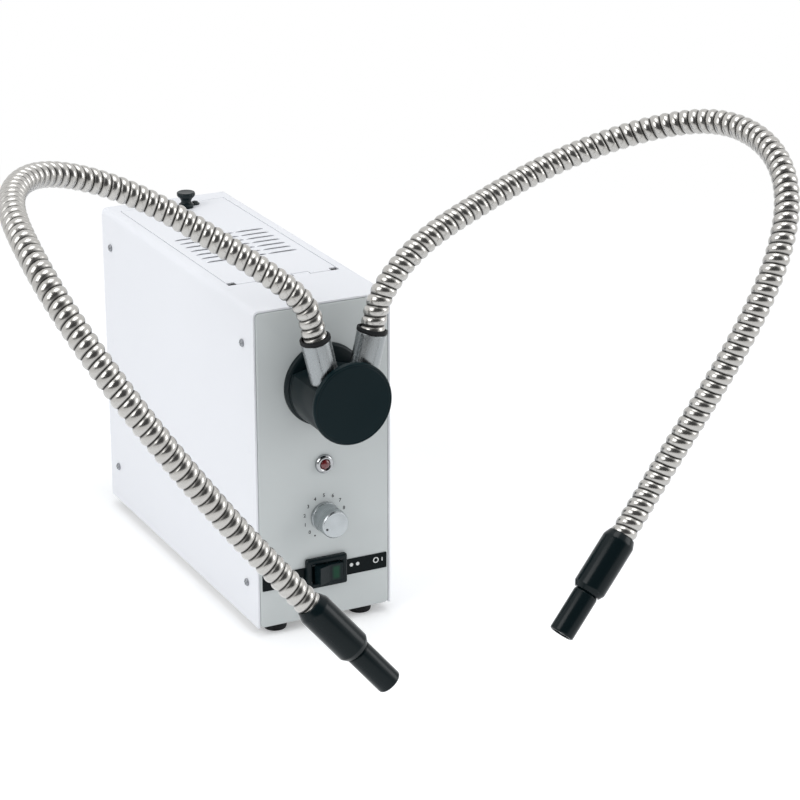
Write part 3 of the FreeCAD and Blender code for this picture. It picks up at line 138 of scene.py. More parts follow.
class LightSourceColours(bpy.types.PropertyGroup):
    """Colours that a user would change"""

    cover_paint: colour("Cover", "Paint of the cover and the hatch", (0.80, 0.81, 0.84))
    panel_paint: colour("Panel", "Paint of the front and rear panels", (0.580, 0.610, 0.605))
    hose_steel: colour("Hose", "Bright steel of the ribbed hose", (0.50, 0.49, 0.47))
    satin_metal: colour("Satin metal", "Ferrules and dial knob", (0.32, 0.34, 0.35))
    black_finish: colour("Black", "Splitter, nozzles and switch", (0.004, 0.010, 0.012))
    indicator: colour("Indicator", "Lens of the lamp indicator", (0.13, 0.006, 0.009))
    rocker_glow: colour("Rocker", "Window in the rocker", (0.004, 0.048, 0.024))
    floor: colour("Floor", "Floor and backdrop", (0.93, 0.93, 0.93))


def sizes():
    return bpy.context.scene.light_source_sizes


def colours():
    return bpy.context.scene.light_source_colours


# Surfaces

def quads_of(rows, columns, close_rows, close_columns):
    """Corner numbers of every quad of a grid; a closed direction joins its last line to its first."""
    index = np.arange(rows * columns).reshape(rows, columns)
    if close_rows:
        index = np.vstack([index, index[:1]])
    if close_columns:
        index = np.hstack([index, index[:, :1]])
    corners = [index[:-1, :-1], index[:-1, 1:], index[1:, 1:], index[1:, :-1]]
    return np.stack(corners, axis=-1).reshape(-1, 4)


def grid(points, close_rows=False, close_columns=True):
    """Vertices and quads of a surface given as rows and columns of points."""
    rows, columns = points.shape[:2]
    return points.reshape(-1, 3), quads_of(rows, columns, close_rows, close_columns)


def together(parts):
    """One list of vertices and quads from several."""
    vertices = np.vstack([part[0] for part in parts])
    starts = np.cumsum([0] + [len(part[0]) for part in parts[:-1]])
    faces = np.vstack([part[1] + start for part, start in zip(parts, starts)])
    return vertices, faces


def fillets(corners, steps=4):
    """A profile whose corners are rounded: each corner is (across, along, radius), and its arc is a
    quadratic curve from one side of the corner to the other, held by the corner itself."""
    corners = [np.array(corner, float) for corner in corners]
    points = []
    for number, corner in enumerate(corners):
        here, radius = corner[:2], corner[2]
        if radius <= 0 or number in (0, len(corners) - 1):
            points.append(here[None])
            continue
        before = corners[number - 1][:2] - here
        after = corners[number + 1][:2] - here
        reach = min(radius, 0.48 * np.linalg.norm(before), 0.48 * np.linalg.norm(after))
        start = here + before / np.linalg.norm(before) * reach
        end = here + after / np.linalg.norm(after) * reach
        t = np.linspace(0, 1, steps + 1)[:, None]
        points.append((1 - t) ** 2 * start + 2 * t * (1 - t) * here + t ** 2 * end)
    return np.vstack(points)


def turned(profile, sides=96, closed=False):
    """A surface of revolution about the local Z axis: every profile point (radius, height) goes round a
    circle. An open profile starts and ends on the axis; a closed one goes round a bore."""
    angle = np.linspace(0, 2 * np.pi, sides, endpoint=False)
    radius, height = profile[:, 0][:, None], profile[:, 1][:, None]
    points = np.stack([radius * np.cos(angle), radius * np.sin(angle), height + 0 * angle], axis=-1)
    return grid(points, close_rows=closed)


def frame_outline(half_x, half_y, radius, per_corner=8):
    """A rounded rectangle: four quarter circles whose centres lie a radius inside the corners."""
    radius = max(min(radius, half_x, half_y), 1e-6)
    quarter = np.linspace(0, np.pi / 2, per_corner)
    parts = []
    for turn, sign_x, sign_y in ((0, 1, 1), (1, -1, 1), (2, -1, -1), (3, 1, -1)):
        angle = quarter + turn * np.pi / 2
        x = sign_x * (half_x - radius) + radius * np.cos(angle)
        y = sign_y * (half_y - radius) + radius * np.sin(angle)
        parts.append(np.stack([x, y], axis=-1))
    return np.vstack(parts)


def plate(half_x, half_y, radius, profile, closed=False, per_corner=8):
    """A rounded rectangle carried up a profile of (inset, height): each step shrinks the outline by its
    inset. An inset of None closes the plate on its middle."""
    rows = []
    for inset, height in profile:
        if inset is None:
            outline = np.zeros((4 * per_corner, 2))
        else:
            outline = frame_outline(half_x - inset, half_y - inset, radius - inset, per_corner)
        rows.append(np.column_stack([outline, np.full(len(outline), height)]))
    return grid(np.stack(rows), close_rows=closed)


def extruded(outline, low, high, edge=0.3):
    """A flat outline carried from one height to another, with its rims drawn in by a small bevel
    towards the outline's middle, and closed on that middle."""
    outline = np.array(outline, float)
    middle = outline.mean(axis=0)
    span = np.abs(outline - middle).max()
    rows = []
    for shrink, height in ((1, low), (edge / span, low), (0, low + edge), (0, high - edge), (edge / span, high), (1, high)):
        ring = middle + (outline - middle) * (1 - shrink)
        rows.append(np.column_stack([ring, np.full(len(ring), height)]))
    return grid(np.stack(rows))


def moved(part, origin, across, up, out):
    """A surface in local axes put in place: local X, Y and Z go along the three directions."""
    vertices, faces = part
    axes = np.array([across, up, out], float)
    return vertices @ axes + np.array(origin, float), faces


def to_front(part, x, y, z):
    """Local Z faces the front of the object, local Y points up."""
    return moved(part, (x, y, z), (1, 0, 0), (0, 0, 1), (0, -1, 0))


def to_rear(part, x, y, z):
    """Local Z faces the rear of the object, local Y points up."""
    return moved(part, (x, y, z), (-1, 0, 0), (0, 0, 1), (0, 1, 0))


def to_top(part, x, y, z):
    """Local Z points up."""
    return moved(part, (x, y, z), (1, 0, 0), (0, 1, 0), (0, 0, 1))


def along_axis(part, origin, axis):
    """Local Z runs along any direction."""
    out = np.array(axis, float)
    out /= np.linalg.norm(out)
    side = np.array((0.0, 1.0, 0.0)) if abs(out[1]) < 0.9 else np.array((1.0, 0.0, 0.0))
    across = np.cross(side, out)
    across /= np.linalg.norm(across)
    return moved(part, origin, across, np.cross(out, across), out)


def new_mesh(name, part, scale=0.001, marks=None):
    """A mesh from vertices and quads, its doubles merged and its faces turned outwards."""
    vertices, faces = part
    mesh = bpy.data.meshes.new(name)
    mesh.vertices.add(len(vertices))
    mesh.vertices.foreach_set("co", (np.asarray(vertices, np.float32) * scale).ravel())
    mesh.loops.add(faces.size)
    mesh.loops.foreach_set("vertex_index", faces.astype(np.int32).ravel())
    mesh.polygons.add(len(faces))
    mesh.polygons.foreach_set("loop_start", np.arange(0, faces.size, 4, dtype=np.int32))
    mesh.update(calc_edges=True)
    for label, values in (marks or {}).items():
        kind = "FLOAT" if values.ndim == 1 else "FLOAT_VECTOR"
        layer = mesh.attributes.new(label, kind, "POINT")
        layer.data.foreach_set("value" if kind == "FLOAT" else "vector", values.astype(np.float32).ravel())
    tidy_mesh(mesh)
    return mesh


def tidy_mesh(mesh, flatten=False):
    """Merges doubles, drops empty faces and turns faces outwards; flatten also joins flat triangles."""
    work = bmesh.new()
    work.from_mesh(mesh)
    bmesh.ops.remove_doubles(work, verts=work.verts, dist=2e-6)
    bmesh.ops.dissolve_degenerate(work, edges=work.edges, dist=1e-7)
    if flatten:
        bmesh.ops.dissolve_limit(work, angle_limit=math.radians(0.6), verts=work.verts, edges=work.edges)
    bmesh.ops.recalc_face_normals(work, faces=work.faces)
    work.to_mesh(mesh)
    work.free()
    mesh.shade_smooth()


def add_piece(name, mesh, finish, body, nodes=(), sharp=32.0):
    """An object for a finished mesh, with its finish, its body and the nodes that it stands for."""
    mesh.set_sharp_from_angle(angle=math.radians(sharp))
    if not mesh.materials:
        mesh.materials.append(finish)
    piece = bpy.data.objects.new(name, mesh)
    bpy.context.scene.collection.objects.link(piece)
    if body:
        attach(piece, body)
    if nodes:
        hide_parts(*nodes)
    return piece


def bevelled(piece, width=0.00025, segments=2):
    """A small even bevel on the sharp edges."""
    bevel = piece.modifiers.new("edges", "BEVEL")
    bevel.width = width
    bevel.segments = segments
    bevel.limit_method = "ANGLE"
    bevel.angle_limit = math.radians(40)
    bevel.harden_normals = True
    return piece


def dressed(name, node, finish, bevel=0.00025):
    """A merged copy of a solid of the frame with softened edges, standing for it."""
    mesh = frame["nodes"][node].data.copy()
    mesh.name = name
    mesh.materials.clear()
    tidy_mesh(mesh, flatten=True)
    body = frame["nodes"][node]["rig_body"]
    piece = add_piece(name, mesh, finish, body, (node,))
    if bevel:
        bevelled(piece, bevel)
    return piece


# Finishes

def node_group(name, inputs, outputs):
    """A new empty shader group with named sockets."""
    group = bpy.data.node_groups.new(name, "ShaderNodeTree")
    for label, kind, default in inputs:
        socket = group.interface.new_socket(name=label, in_out="INPUT", socket_type=kind)
        if default is not None:
            socket.default_value = default
    for label, kind in outputs:
        group.interface.new_socket(name=label, in_out="OUTPUT", socket_type=kind)
    return group, group.nodes.new("NodeGroupInput"), group.nodes.new("NodeGroupOutput")


def speckle_group():
    """Fine grain of paint or cast plastic: a mask and a height from two scales of noise."""
    if "Fine grain" in bpy.data.node_groups:
        return bpy.data.node_groups["Fine grain"]
    group, source, target = node_group(
        "Fine grain",
        [("Vector", "NodeSocketVector", None), ("Grain", "NodeSocketFloat", 900.0), ("Patch", "NodeSocketFloat", 18.0)],
        [("Mask", "NodeSocketFloat"), ("Height", "NodeSocketFloat")],
    )
    fine = group.nodes.new("ShaderNodeTexNoise")
    fine.inputs["Detail"].default_value = 2.0
    broad = group.nodes.new("ShaderNodeTexNoise")
    broad.inputs["Detail"].default_value = 3.0
    blend = group.nodes.new("ShaderNodeMath")
    blend.operation = "MULTIPLY_ADD"
    blend.inputs[1].default_value = 0.35
    half = group.nodes.new("ShaderNodeMath")
    half.operation = "MULTIPLY"
    half.inputs[1].default_value = 0.65
    link = group.links.new
    link(source.outputs["Vector"], fine.inputs["Vector"])
    link(source.outputs["Vector"], broad.inputs["Vector"])
    link(source.outputs["Grain"], fine.inputs["Scale"])
    link(source.outputs["Patch"], broad.inputs["Scale"])
    link(broad.outputs["Fac"], half.inputs[0])
    link(fine.outputs["Fac"], blend.inputs[0])
    link(half.outputs[0], blend.inputs[2])
    link(blend.outputs[0], target.inputs["Mask"])
    link(fine.outputs["Fac"], target.inputs["Height"])
    return group


def streak_group():
    """Brushed lines: noise drawn out along one direction by scaling its coordinates."""
    if "Brushed lines" in bpy.data.node_groups:
        return bpy.data.node_groups["Brushed lines"]
    group, source, target = node_group(
        "Brushed lines",
        [("Vector", "NodeSocketVector", None), ("Stretch", "NodeSocketVector", (1.0, 1.0, 0.03)),
         ("Scale", "NodeSocketFloat", 2500.0)],
        [("Mask", "NodeSocketFloat"), ("Height", "NodeSocketFloat")],
    )
    scale = group.nodes.new("ShaderNodeVectorMath")
    scale.operation = "MULTIPLY"
    noise = group.nodes.new("ShaderNodeTexNoise")
    noise.inputs["Detail"].default_value = 3.0
    spread = group.nodes.new("ShaderNodeMapRange")
    spread.inputs["From Min"].default_value = 0.3
    spread.inputs["From Max"].default_value = 0.7
    link = group.links.new
    link(source.outputs["Vector"], scale.inputs[0])
    link(source.outputs["Stretch"], scale.inputs[1])
    link(scale.outputs["Vector"], noise.inputs["Vector"])
    link(source.outputs["Scale"], noise.inputs["Scale"])
    link(noise.outputs["Fac"], spread.inputs["Value"])
    link(spread.outputs["Result"], target.inputs["Mask"])
    link(noise.outputs["Fac"], target.inputs["Height"])
    return group


def bands_group():
    """Even stripes along one axis, such as laminations or winding turns: a sine of the coordinate."""
    if "Even stripes" in bpy.data.node_groups:
        return bpy.data.node_groups["Even stripes"]
    group, source, target = node_group(
        "Even stripes",
        [("Vector", "NodeSocketVector", None), ("Direction", "NodeSocketVector", (0.0, 1.0, 0.0)),
         ("Pitch", "NodeSocketFloat", 0.001)],
        [("Mask", "NodeSocketFloat")],
    )
    project = group.nodes.new("ShaderNodeVectorMath")
    project.operation = "DOT_PRODUCT"
    turns = group.nodes.new("ShaderNodeMath")
    turns.operation = "DIVIDE"
    full = group.nodes.new("ShaderNodeMath")
    full.operation = "MULTIPLY"
    full.inputs[1].default_value = 2 * math.pi
    wave = group.nodes.new("ShaderNodeMath")
    wave.operation = "SINE"
    centre = group.nodes.new("ShaderNodeMath")
    centre.operation = "MULTIPLY_ADD"
    centre.inputs[1].default_value = 0.5
    centre.inputs[2].default_value = 0.5
    link = group.links.new
    link(source.outputs["Vector"], project.inputs[0])
    link(source.outputs["Direction"], project.inputs[1])
    link(project.outputs["Value"], turns.inputs[0])
    link(source.outputs["Pitch"], turns.inputs[1])
    link(turns.outputs[0], full.inputs[0])
    link(full.outputs[0], wave.inputs[0])
    link(wave.outputs[0], centre.inputs[0])
    link(centre.outputs[0], target.inputs["Mask"])
    return group


class Finish:
    """A material being built: its tree, its shader and its coordinates."""

    def __init__(self, name, attribute=None):
        self.material = bpy.data.materials.new(name)
        self.material.use_nodes = True
        self.tree = self.material.node_tree
        self.tree.nodes.clear()
        self.shader = self.tree.nodes.new("ShaderNodeBsdfPrincipled")
        output = self.tree.nodes.new("ShaderNodeOutputMaterial")
        self.tree.links.new(self.shader.outputs["BSDF"], output.inputs["Surface"])
        if attribute:
            source = self.tree.nodes.new("ShaderNodeAttribute")
            source.attribute_name = attribute
            self.place = source.outputs["Vector"]
        else:
            source = self.tree.nodes.new("ShaderNodeTexCoord")
            self.place = source.outputs["Object"]

    def put(self, **values):
        """Constant values on the shader's own sockets, by name with underscores for spaces."""
        for key, value in values.items():
            self.shader.inputs[key.replace("_", " ")].default_value = value
        return self

    def effect(self, group, **values):
        """A shared effect placed in this material with its own values."""
        node = self.tree.nodes.new("ShaderNodeGroup")
        node.node_tree = group
        self.tree.links.new(self.place, node.inputs["Vector"])
        for key, value in values.items():
            node.inputs[key].default_value = value
        return node

    def mix(self, mask, low, high):
        """A colour between two by a mask."""
        node = self.tree.nodes.new("ShaderNodeMix")
        node.data_type = "RGBA"
        self.tree.links.new(mask, node.inputs["Factor"])
        for socket, value in ((node.inputs[6], low), (node.inputs[7], high)):
            if isinstance(value, bpy.types.NodeSocket):
                self.tree.links.new(value, socket)
            else:
                socket.default_value = (*value[:3], 1.0)
        return node.outputs[2]

    def span(self, mask, low, high, start=0.0, end=1.0):
        """A mask's range stretched to another."""
        node = self.tree.nodes.new("ShaderNodeMapRange")
        self.tree.links.new(mask, node.inputs["Value"])
        node.inputs["From Min"].default_value = start
        node.inputs["From Max"].default_value = end
        node.inputs["To Min"].default_value = low
        node.inputs["To Max"].default_value = high
        return node.outputs["Result"]

    def feed(self, socket, value):
        self.tree.links.new(value, self.shader.inputs[socket])
        return self

    def bump(self, height, strength, depth):
        """Relief from a height, in metres of depth."""
        node = self.tree.nodes.new("ShaderNodeBump")
        node.inputs["Strength"].default_value = strength
        node.inputs["Distance"].default_value = depth
        self.tree.links.new(height, node.inputs["Height"])
        self.tree.links.new(node.outputs["Normal"], self.shader.inputs["Normal"])
        return self

    def attribute(self, label):
        node = self.tree.nodes.new("ShaderNodeAttribute")
        node.attribute_name = label
        return node.outputs["Fac"]

    def axis(self, number):
        """One coordinate of the piece, in metres."""
        node = self.tree.nodes.new("ShaderNodeSeparateXYZ")
        self.tree.links.new(self.place, node.inputs["Vector"])
        return node.outputs[number]


def shade(base, factor):
    return tuple(min(max(value * factor, 0.0), 1.0) for value in base[:3])


def grained(name, base, rough, grain=1400.0, patch=14.0, contrast=0.05, relief=0.00003, metallic=0.0, coat=0.0,
            shine=0.5):
    """Paint, plastic or rubber with a fine grain and slow changes of tone."""
    finish = Finish(name).put(Metallic=metallic, Coat_Weight=coat, Coat_Roughness=0.12, Specular_IOR_Level=shine)
    grain_node = finish.effect(speckle_group(), Grain=grain, Patch=patch)
    mask = grain_node.outputs["Mask"]
    finish.feed("Base Color", finish.mix(mask, shade(base, 1 - contrast), shade(base, 1 + contrast)))
    finish.feed("Roughness", finish.span(mask, rough * 0.88, rough * 1.12, 0.3, 0.7))
    finish.bump(grain_node.outputs["Height"], 0.35, relief)
    return finish.material


def brushed(name, base, rough, stretch=(1.0, 1.0, 0.03), scale=2500.0, contrast=0.10, relief=0.00001, metallic=1.0):
    """Metal with fine lines along one direction."""
    finish = Finish(name).put(Metallic=metallic)
    lines = finish.effect(streak_group(), Stretch=stretch, Scale=scale)
    mask = lines.outputs["Mask"]
    finish.feed("Base Color", finish.mix(mask, shade(base, 1 - contrast), shade(base, 1 + contrast)))
    finish.feed("Roughness", finish.span(mask, rough * 0.8, rough * 1.2))
    finish.bump(lines.outputs["Height"], 0.4, relief)
    return finish.material


def wound_steel(name, base):
    """Bright hose: the crests polished with fine scratches, the grooves between ribs dull and painted dark, as painted
    shade with some dirt.
    """
    finish = Finish(name, attribute="run").put(Metallic=1.0)
    lines = finish.effect(streak_group(), Stretch=(0.25, 0.25, 1.0), Scale=3800.0)
    groove = finish.attribute("groove")
    crest = finish.mix(lines.outputs["Mask"], shade(base, 0.93), shade(base, 1.07))
    # Painted shade: the groove colour falls to nine per cent of the steel, standing for the shade between ribs, with
    # some dirt.
    groove_shade_and_dirt = finish.span(groove, 0.0, 1.0, 0.45, 0.92)
    finish.feed("Base Color", finish.mix(groove_shade_and_dirt, crest, shade(base, 0.09)))
    finish.feed("Roughness", finish.span(groove, 0.24, 0.55, 0.3, 1.0))
    finish.bump(lines.outputs["Height"], 0.3, 0.00001)
    return finish.material


def turned_metal(name, base, rough, centre, contrast=0.10):
    """Lathe-turned face: rings round the piece's own axis, a sine of the distance from it."""
    finish = Finish(name).put(Metallic=1.0, Anisotropic=0.7)
    about = finish.tree.nodes.new("ShaderNodeTangent")
    about.direction_type = "RADIAL"
    about.axis = "Y"
    finish.feed("Tangent", about.outputs["Tangent"])
    shift = finish.tree.nodes.new("ShaderNodeMapping")
    shift.vector_type = "TEXTURE"
    shift.inputs["Location"].default_value = centre
    finish.tree.links.new(finish.place, shift.inputs["Vector"])
    flat = finish.tree.nodes.new("ShaderNodeVectorMath")
    flat.operation = "MULTIPLY"
    flat.inputs[1].default_value = (1.0, 0.0, 1.0)
    finish.tree.links.new(shift.outputs["Vector"], flat.inputs[0])
    reach = finish.tree.nodes.new("ShaderNodeVectorMath")
    reach.operation = "LENGTH"
    finish.tree.links.new(flat.outputs["Vector"], reach.inputs[0])
    ring = finish.tree.nodes.new("ShaderNodeCombineXYZ")
    finish.tree.links.new(reach.outputs["Value"], ring.inputs["X"])
    finish.place = ring.outputs["Vector"]
    lines = finish.effect(streak_group(), Stretch=(1.0, 1.0, 1.0), Scale=5200.0)
    mask = lines.outputs["Mask"]
    finish.feed("Base Color", finish.mix(mask, shade(base, 1 - contrast), shade(base, 1 + contrast)))
    finish.feed("Roughness", finish.span(mask, rough * 0.8, rough * 1.25))
    finish.bump(lines.outputs["Height"], 0.5, 0.00001)
    return finish.material


def striped(name, low, high, rough, direction, pitch, metallic=0.0, relief=0.0001):
    """Stripes of two colours with relief, for laminations and windings."""
    finish = Finish(name).put(Metallic=metallic)
    stripes = finish.effect(bands_group(), Direction=direction, Pitch=pitch)
    grain = finish.effect(speckle_group(), Grain=700.0, Patch=40.0)
    mask = stripes.outputs["Mask"]
    finish.feed("Base Color", finish.mix(mask, low, high))
    finish.feed("Roughness", finish.span(grain.outputs["Mask"], rough * 0.85, rough * 1.15))
    finish.bump(mask, 0.6, relief)
    return finish.material


def clear(name, tint, rough=0.05, ior=1.5):
    """Clear glass or plastic with a very slight haze."""
    finish = Finish(name).put(Transmission_Weight=1.0, IOR=ior, Metallic=0.0)
    grain = finish.effect(speckle_group(), Grain=500.0, Patch=30.0)
    mask = grain.outputs["Mask"]
    finish.feed("Base Color", finish.mix(mask, shade(tint, 0.97), tint))
    finish.feed("Roughness", finish.span(mask, rough * 0.6, rough * 1.4))
    return finish.material


def windowed(name, base, window, rough, middle, half, soft=0.0009):
    """Dark plastic with a coloured window: the mask falls off softly on either side of a middle along X
    and along Z, and the two falls are multiplied."""
    finish = Finish(name).put(Specular_IOR_Level=0.2)
    masks = []
    for number, axis in enumerate((0, 2)):
        offset = finish.tree.nodes.new("ShaderNodeMath")
        offset.operation = "SUBTRACT"
        offset.inputs[1].default_value = middle[number]
        finish.tree.links.new(finish.axis(axis), offset.inputs[0])
        reach = finish.tree.nodes.new("ShaderNodeMath")
        reach.operation = "ABSOLUTE"
        finish.tree.links.new(offset.outputs[0], reach.inputs[0])
        masks.append(finish.span(reach.outputs[0], 1.0, 0.0, half[number] - soft, half[number] + soft))
    both = finish.tree.nodes.new("ShaderNodeMath")
    both.operation = "MULTIPLY"
    finish.tree.links.new(masks[0], both.inputs[0])
    finish.tree.links.new(masks[1], both.inputs[1])
    grain = finish.effect(speckle_group(), Grain=1500.0, Patch=30.0)
    finish.feed("Base Color", finish.mix(both.outputs[0], base, window))
    finish.feed("Roughness", finish.span(grain.outputs["Mask"], rough * 0.8, rough * 1.3))
    finish.bump(grain.outputs["Height"], 0.25, 0.00002)
    return finish.material


def circuit_board(name):
    """Green lacquer over copper tracks, with pale solder where the tracks meet: two crossed stripes."""
    finish = Finish(name).put(Coat_Weight=0.4)
    lanes = finish.effect(bands_group(), Direction=(1.0, 0.0, 0.0), Pitch=0.0038)
    rows = finish.effect(bands_group(), Direction=(0.0, 1.0, 0.0), Pitch=0.0051)
    track = finish.span(lanes.outputs["Mask"], 0.0, 1.0, 0.72, 0.78)
    pad = finish.span(rows.outputs["Mask"], 0.0, 1.0, 0.90, 0.95)
    lacquer = finish.mix(track, (0.02, 0.12, 0.05), (0.05, 0.24, 0.09))
    finish.feed("Base Color", finish.mix(pad, lacquer, (0.06, 0.28, 0.11)))
    finish.feed("Roughness", finish.span(track, 0.35, 0.25))
    finish.bump(track, 0.4, 0.00005)
    return finish.material


made = {}


def finish_of(name):
    """A material by name, made when it is first asked for."""
    if name in made:
        return made[name]
    tint = colours()
    black = tuple(tint.black_finish)
    makers = {
        "cover paint": lambda: grained(name, tuple(tint.cover_paint), 0.42, contrast=0.015, relief=0.00002),
        "panel paint": lambda: grained(name, tuple(tint.panel_paint), 0.38, grain=2200.0, contrast=0.025),
        "hose steel": lambda: wound_steel(name, tuple(tint.hose_steel)),
        "ferrule aluminium": lambda: brushed(name, tuple(tint.satin_metal), 0.28, (1.0, 1.0, 0.03), 2600.0, 0.03, 0.000001),
        "dial metal": lambda: turned_metal(name, shade(tint.satin_metal, 1.45), 0.26, (0.0, 0.0, KNOB_Z / 1000)),
        "splitter black": lambda: grained(name, black, 0.34, grain=1800.0, contrast=0.25, shine=0.20),
        "cap black": lambda: grained(name, (0.001, 0.010, 0.013), 0.32, grain=2600.0, contrast=0.2, shine=0.13),
        "nozzle black": lambda: grained(name, shade(black, 0.8), 0.22, grain=1800.0, contrast=0.2, shine=0.18),
        "rubber": lambda: grained(name, (0.008, 0.009, 0.010), 0.60, grain=1100.0, contrast=0.2, relief=0.00006, shine=0.2),
        "switch black": lambda: grained(name, shade(black, 0.9), 0.26, grain=2000.0, contrast=0.2, shine=0.18),
        "band black": lambda: grained(name, shade(black, 0.5), 0.24, grain=2000.0, contrast=0.15, shine=0.10),
        "rocker": lambda: windowed(
            name, black, tuple(tint.rocker_glow), 0.2, (0.0045, SWITCH_Z / 1000), (0.0020, 0.0038),
        ),
        "chrome": lambda: brushed(name, (0.42, 0.43, 0.44), 0.10, (1.0, 1.0, 1.0), 900.0, 0.05, 0.000001),
        "indicator red": lambda: grained(name, tuple(tint.indicator), 0.10, contrast=0.1, coat=1.0),
        "screw black": lambda: grained(name, (0.012, 0.012, 0.013), 0.34, contrast=0.2, shine=0.3),
        "screw grey": lambda: grained(name, (0.30, 0.31, 0.33), 0.36, contrast=0.12, metallic=0.8),
        "thumb black": lambda: grained(name, shade(black, 1.2), 0.34, contrast=0.2, shine=0.25),
        "ink": lambda: grained(name, (0.045, 0.047, 0.05), 0.55, contrast=0.2),
        "white ink": lambda: grained(name, (0.72, 0.73, 0.72), 0.5, contrast=0.08),
        "zinc": lambda: brushed(name, (0.55, 0.55, 0.54), 0.36, (0.04, 1.0, 1.0), 1400.0, 0.12),
        "steel": lambda: brushed(name, (0.58, 0.58, 0.58), 0.28, (1.0, 1.0, 0.2), 1800.0, 0.12),
        "brass": lambda: brushed(name, (0.72, 0.53, 0.24), 0.26, (1.0, 1.0, 1.0), 1800.0, 0.1),
        "laminations": lambda: striped(name, (0.06, 0.06, 0.065), (0.16, 0.16, 0.17), 0.5, (0, 1, 0), 0.0009, 0.7),
        "winding tape": lambda: striped(name, (0.40, 0.26, 0.05), (0.55, 0.38, 0.09), 0.42, (0, 0, 1), 0.0012),
        "board": lambda: circuit_board(name),
        "ceramic": lambda: grained(name, (0.72, 0.70, 0.64), 0.55, contrast=0.06, relief=0.00006),
        "glass": lambda: clear(name, (0.93, 0.96, 0.96)),
        "fibre": lambda: clear(name, (0.90, 0.90, 0.82), 0.18),
        "mirror bowl": lambda: grained(name, (0.80, 0.82, 0.86), 0.12, grain=250.0, contrast=0.06, metallic=1.0),
        "fan plastic": lambda: grained(name, (0.014, 0.014, 0.015), 0.45, contrast=0.2),
        "inlet": lambda: grained(name, (0.016, 0.016, 0.017), 0.38, contrast=0.2, coat=0.2),
    }
    made[name] = makers[name]()
    return made[name]


# Arms

def centreline(route):
    """Uniform cubic B-spline over the control points, whose end points are reflected so that the line
    starts and ends on them. Returns points, their distance along the line, and their directions."""
    poles = np.array(route, float)
    poles = np.vstack([2 * poles[0] - poles[1], poles, 2 * poles[-1] - poles[-2]])
    t = np.linspace(0, 1, 60, endpoint=False)[:, None]
    weights = np.hstack([
        (1 - t) ** 3, 3 * t ** 3 - 6 * t ** 2 + 4, -3 * t ** 3 + 3 * t ** 2 + 3 * t + 1, t ** 3,
    ]) / 6
    spans = [weights @ poles[number:number + 4] for number in range(len(route) - 1)]
    points = np.vstack(spans + [poles[-2][None]])
    steps = np.linalg.norm(np.diff(points, axis=0), axis=1)
    lengths = np.concatenate([[0.0], np.cumsum(steps)])
    directions = np.gradient(points, axis=0)
    directions /= np.linalg.norm(directions, axis=1)[:, None]
    return points, lengths, directions


def carried_axes(directions):
    """A cross axis for each direction, carried along so that it never twists: what is left of the last
    axis once its part along the new direction is taken out."""
    axis = np.array((0.0, 1.0, 0.0))
    axes = []
    for direction in directions:
        axis = axis - direction * (axis @ direction)
        axis = axis / np.linalg.norm(axis)
        axes.append(axis)
    return np.array(axes)


def at(lengths, values, wanted):
    """Values along the line at any distances."""
    return np.stack([np.interp(wanted, lengths, values[:, k]) for k in range(3)], axis=-1)


def hose_stretch(line, first, last):
    """Ribbed hose between two ribs. The surface is a tube whose radius falls from the crest by a power a
    little over two of the distance to the crest line, which runs round the hose as a screw thread of
    one pitch.
    The grid follows the thread, so each line of points stays on one height of the rib. A plain bore
    closes it inside."""
    points, lengths, directions, axes = line
    total = lengths[-1]
    pitch = total / RIB_COUNT
    size = sizes()
    radius = size.hose_radius * 1000
    depth = size.groove_depth * 1000
    sides = size.hose_sides
    angle = np.linspace(0, 2 * np.pi, sides + 1)
    steps = np.array([0.0, 0.05, 0.11, 0.20, 0.33, 0.5, 0.67, 0.80, 0.89, 0.95])
    rows = (np.arange(first - 1, last + 1)[:, None] + steps[None]).ravel()
    place = (rows[:, None] + angle[None] / (2 * np.pi)) * pitch
    place = np.clip(place, first * pitch, last * pitch)
    phase = place / pitch - angle[None] / (2 * np.pi)
    phase = phase - np.floor(phase + 1e-9)
    fall = np.abs(2 * phase - 1) ** 2.2
    outer = radius - depth * fall
    bore_rows = np.linspace(last * pitch, first * pitch, last - first + 1)
    place = np.vstack([place, np.repeat(bore_rows[:, None], sides + 1, axis=1)])
    bore = np.full((len(bore_rows), sides + 1), size.hose_bore * 1000)
    spread = np.vstack([outer, bore])
    # Painted shade: the bore takes a groove value of 0.8, so the hose finish paints it dark.
    groove = np.vstack([fall, np.full(bore.shape, 0.8)])
    middle = at(lengths, points, place)
    forward = at(lengths, directions, place)
    forward /= np.linalg.norm(forward, axis=-1)[..., None]
    cross = at(lengths, axes, place)
    cross -= forward * (cross * forward).sum(axis=-1)[..., None]
    cross /= np.linalg.norm(cross, axis=-1)[..., None]
    third = np.cross(forward, cross)
    round_about = cross * np.cos(angle)[None, :, None] + third * np.sin(angle)[None, :, None]
    surface = middle + round_about * spread[..., None]
    run = np.stack([
        np.cos(angle)[None] * radius + 0 * place, np.sin(angle)[None] * radius + 0 * place, place,
    ], axis=-1) * 0.001
    part = grid(surface, close_rows=True, close_columns=False)
    return part, {"groove": groove.ravel(), "run": run.reshape(-1, 3)}


def arm_line(route):
    points, lengths, directions = centreline(route)
    return points, lengths, directions, carried_axes(directions)


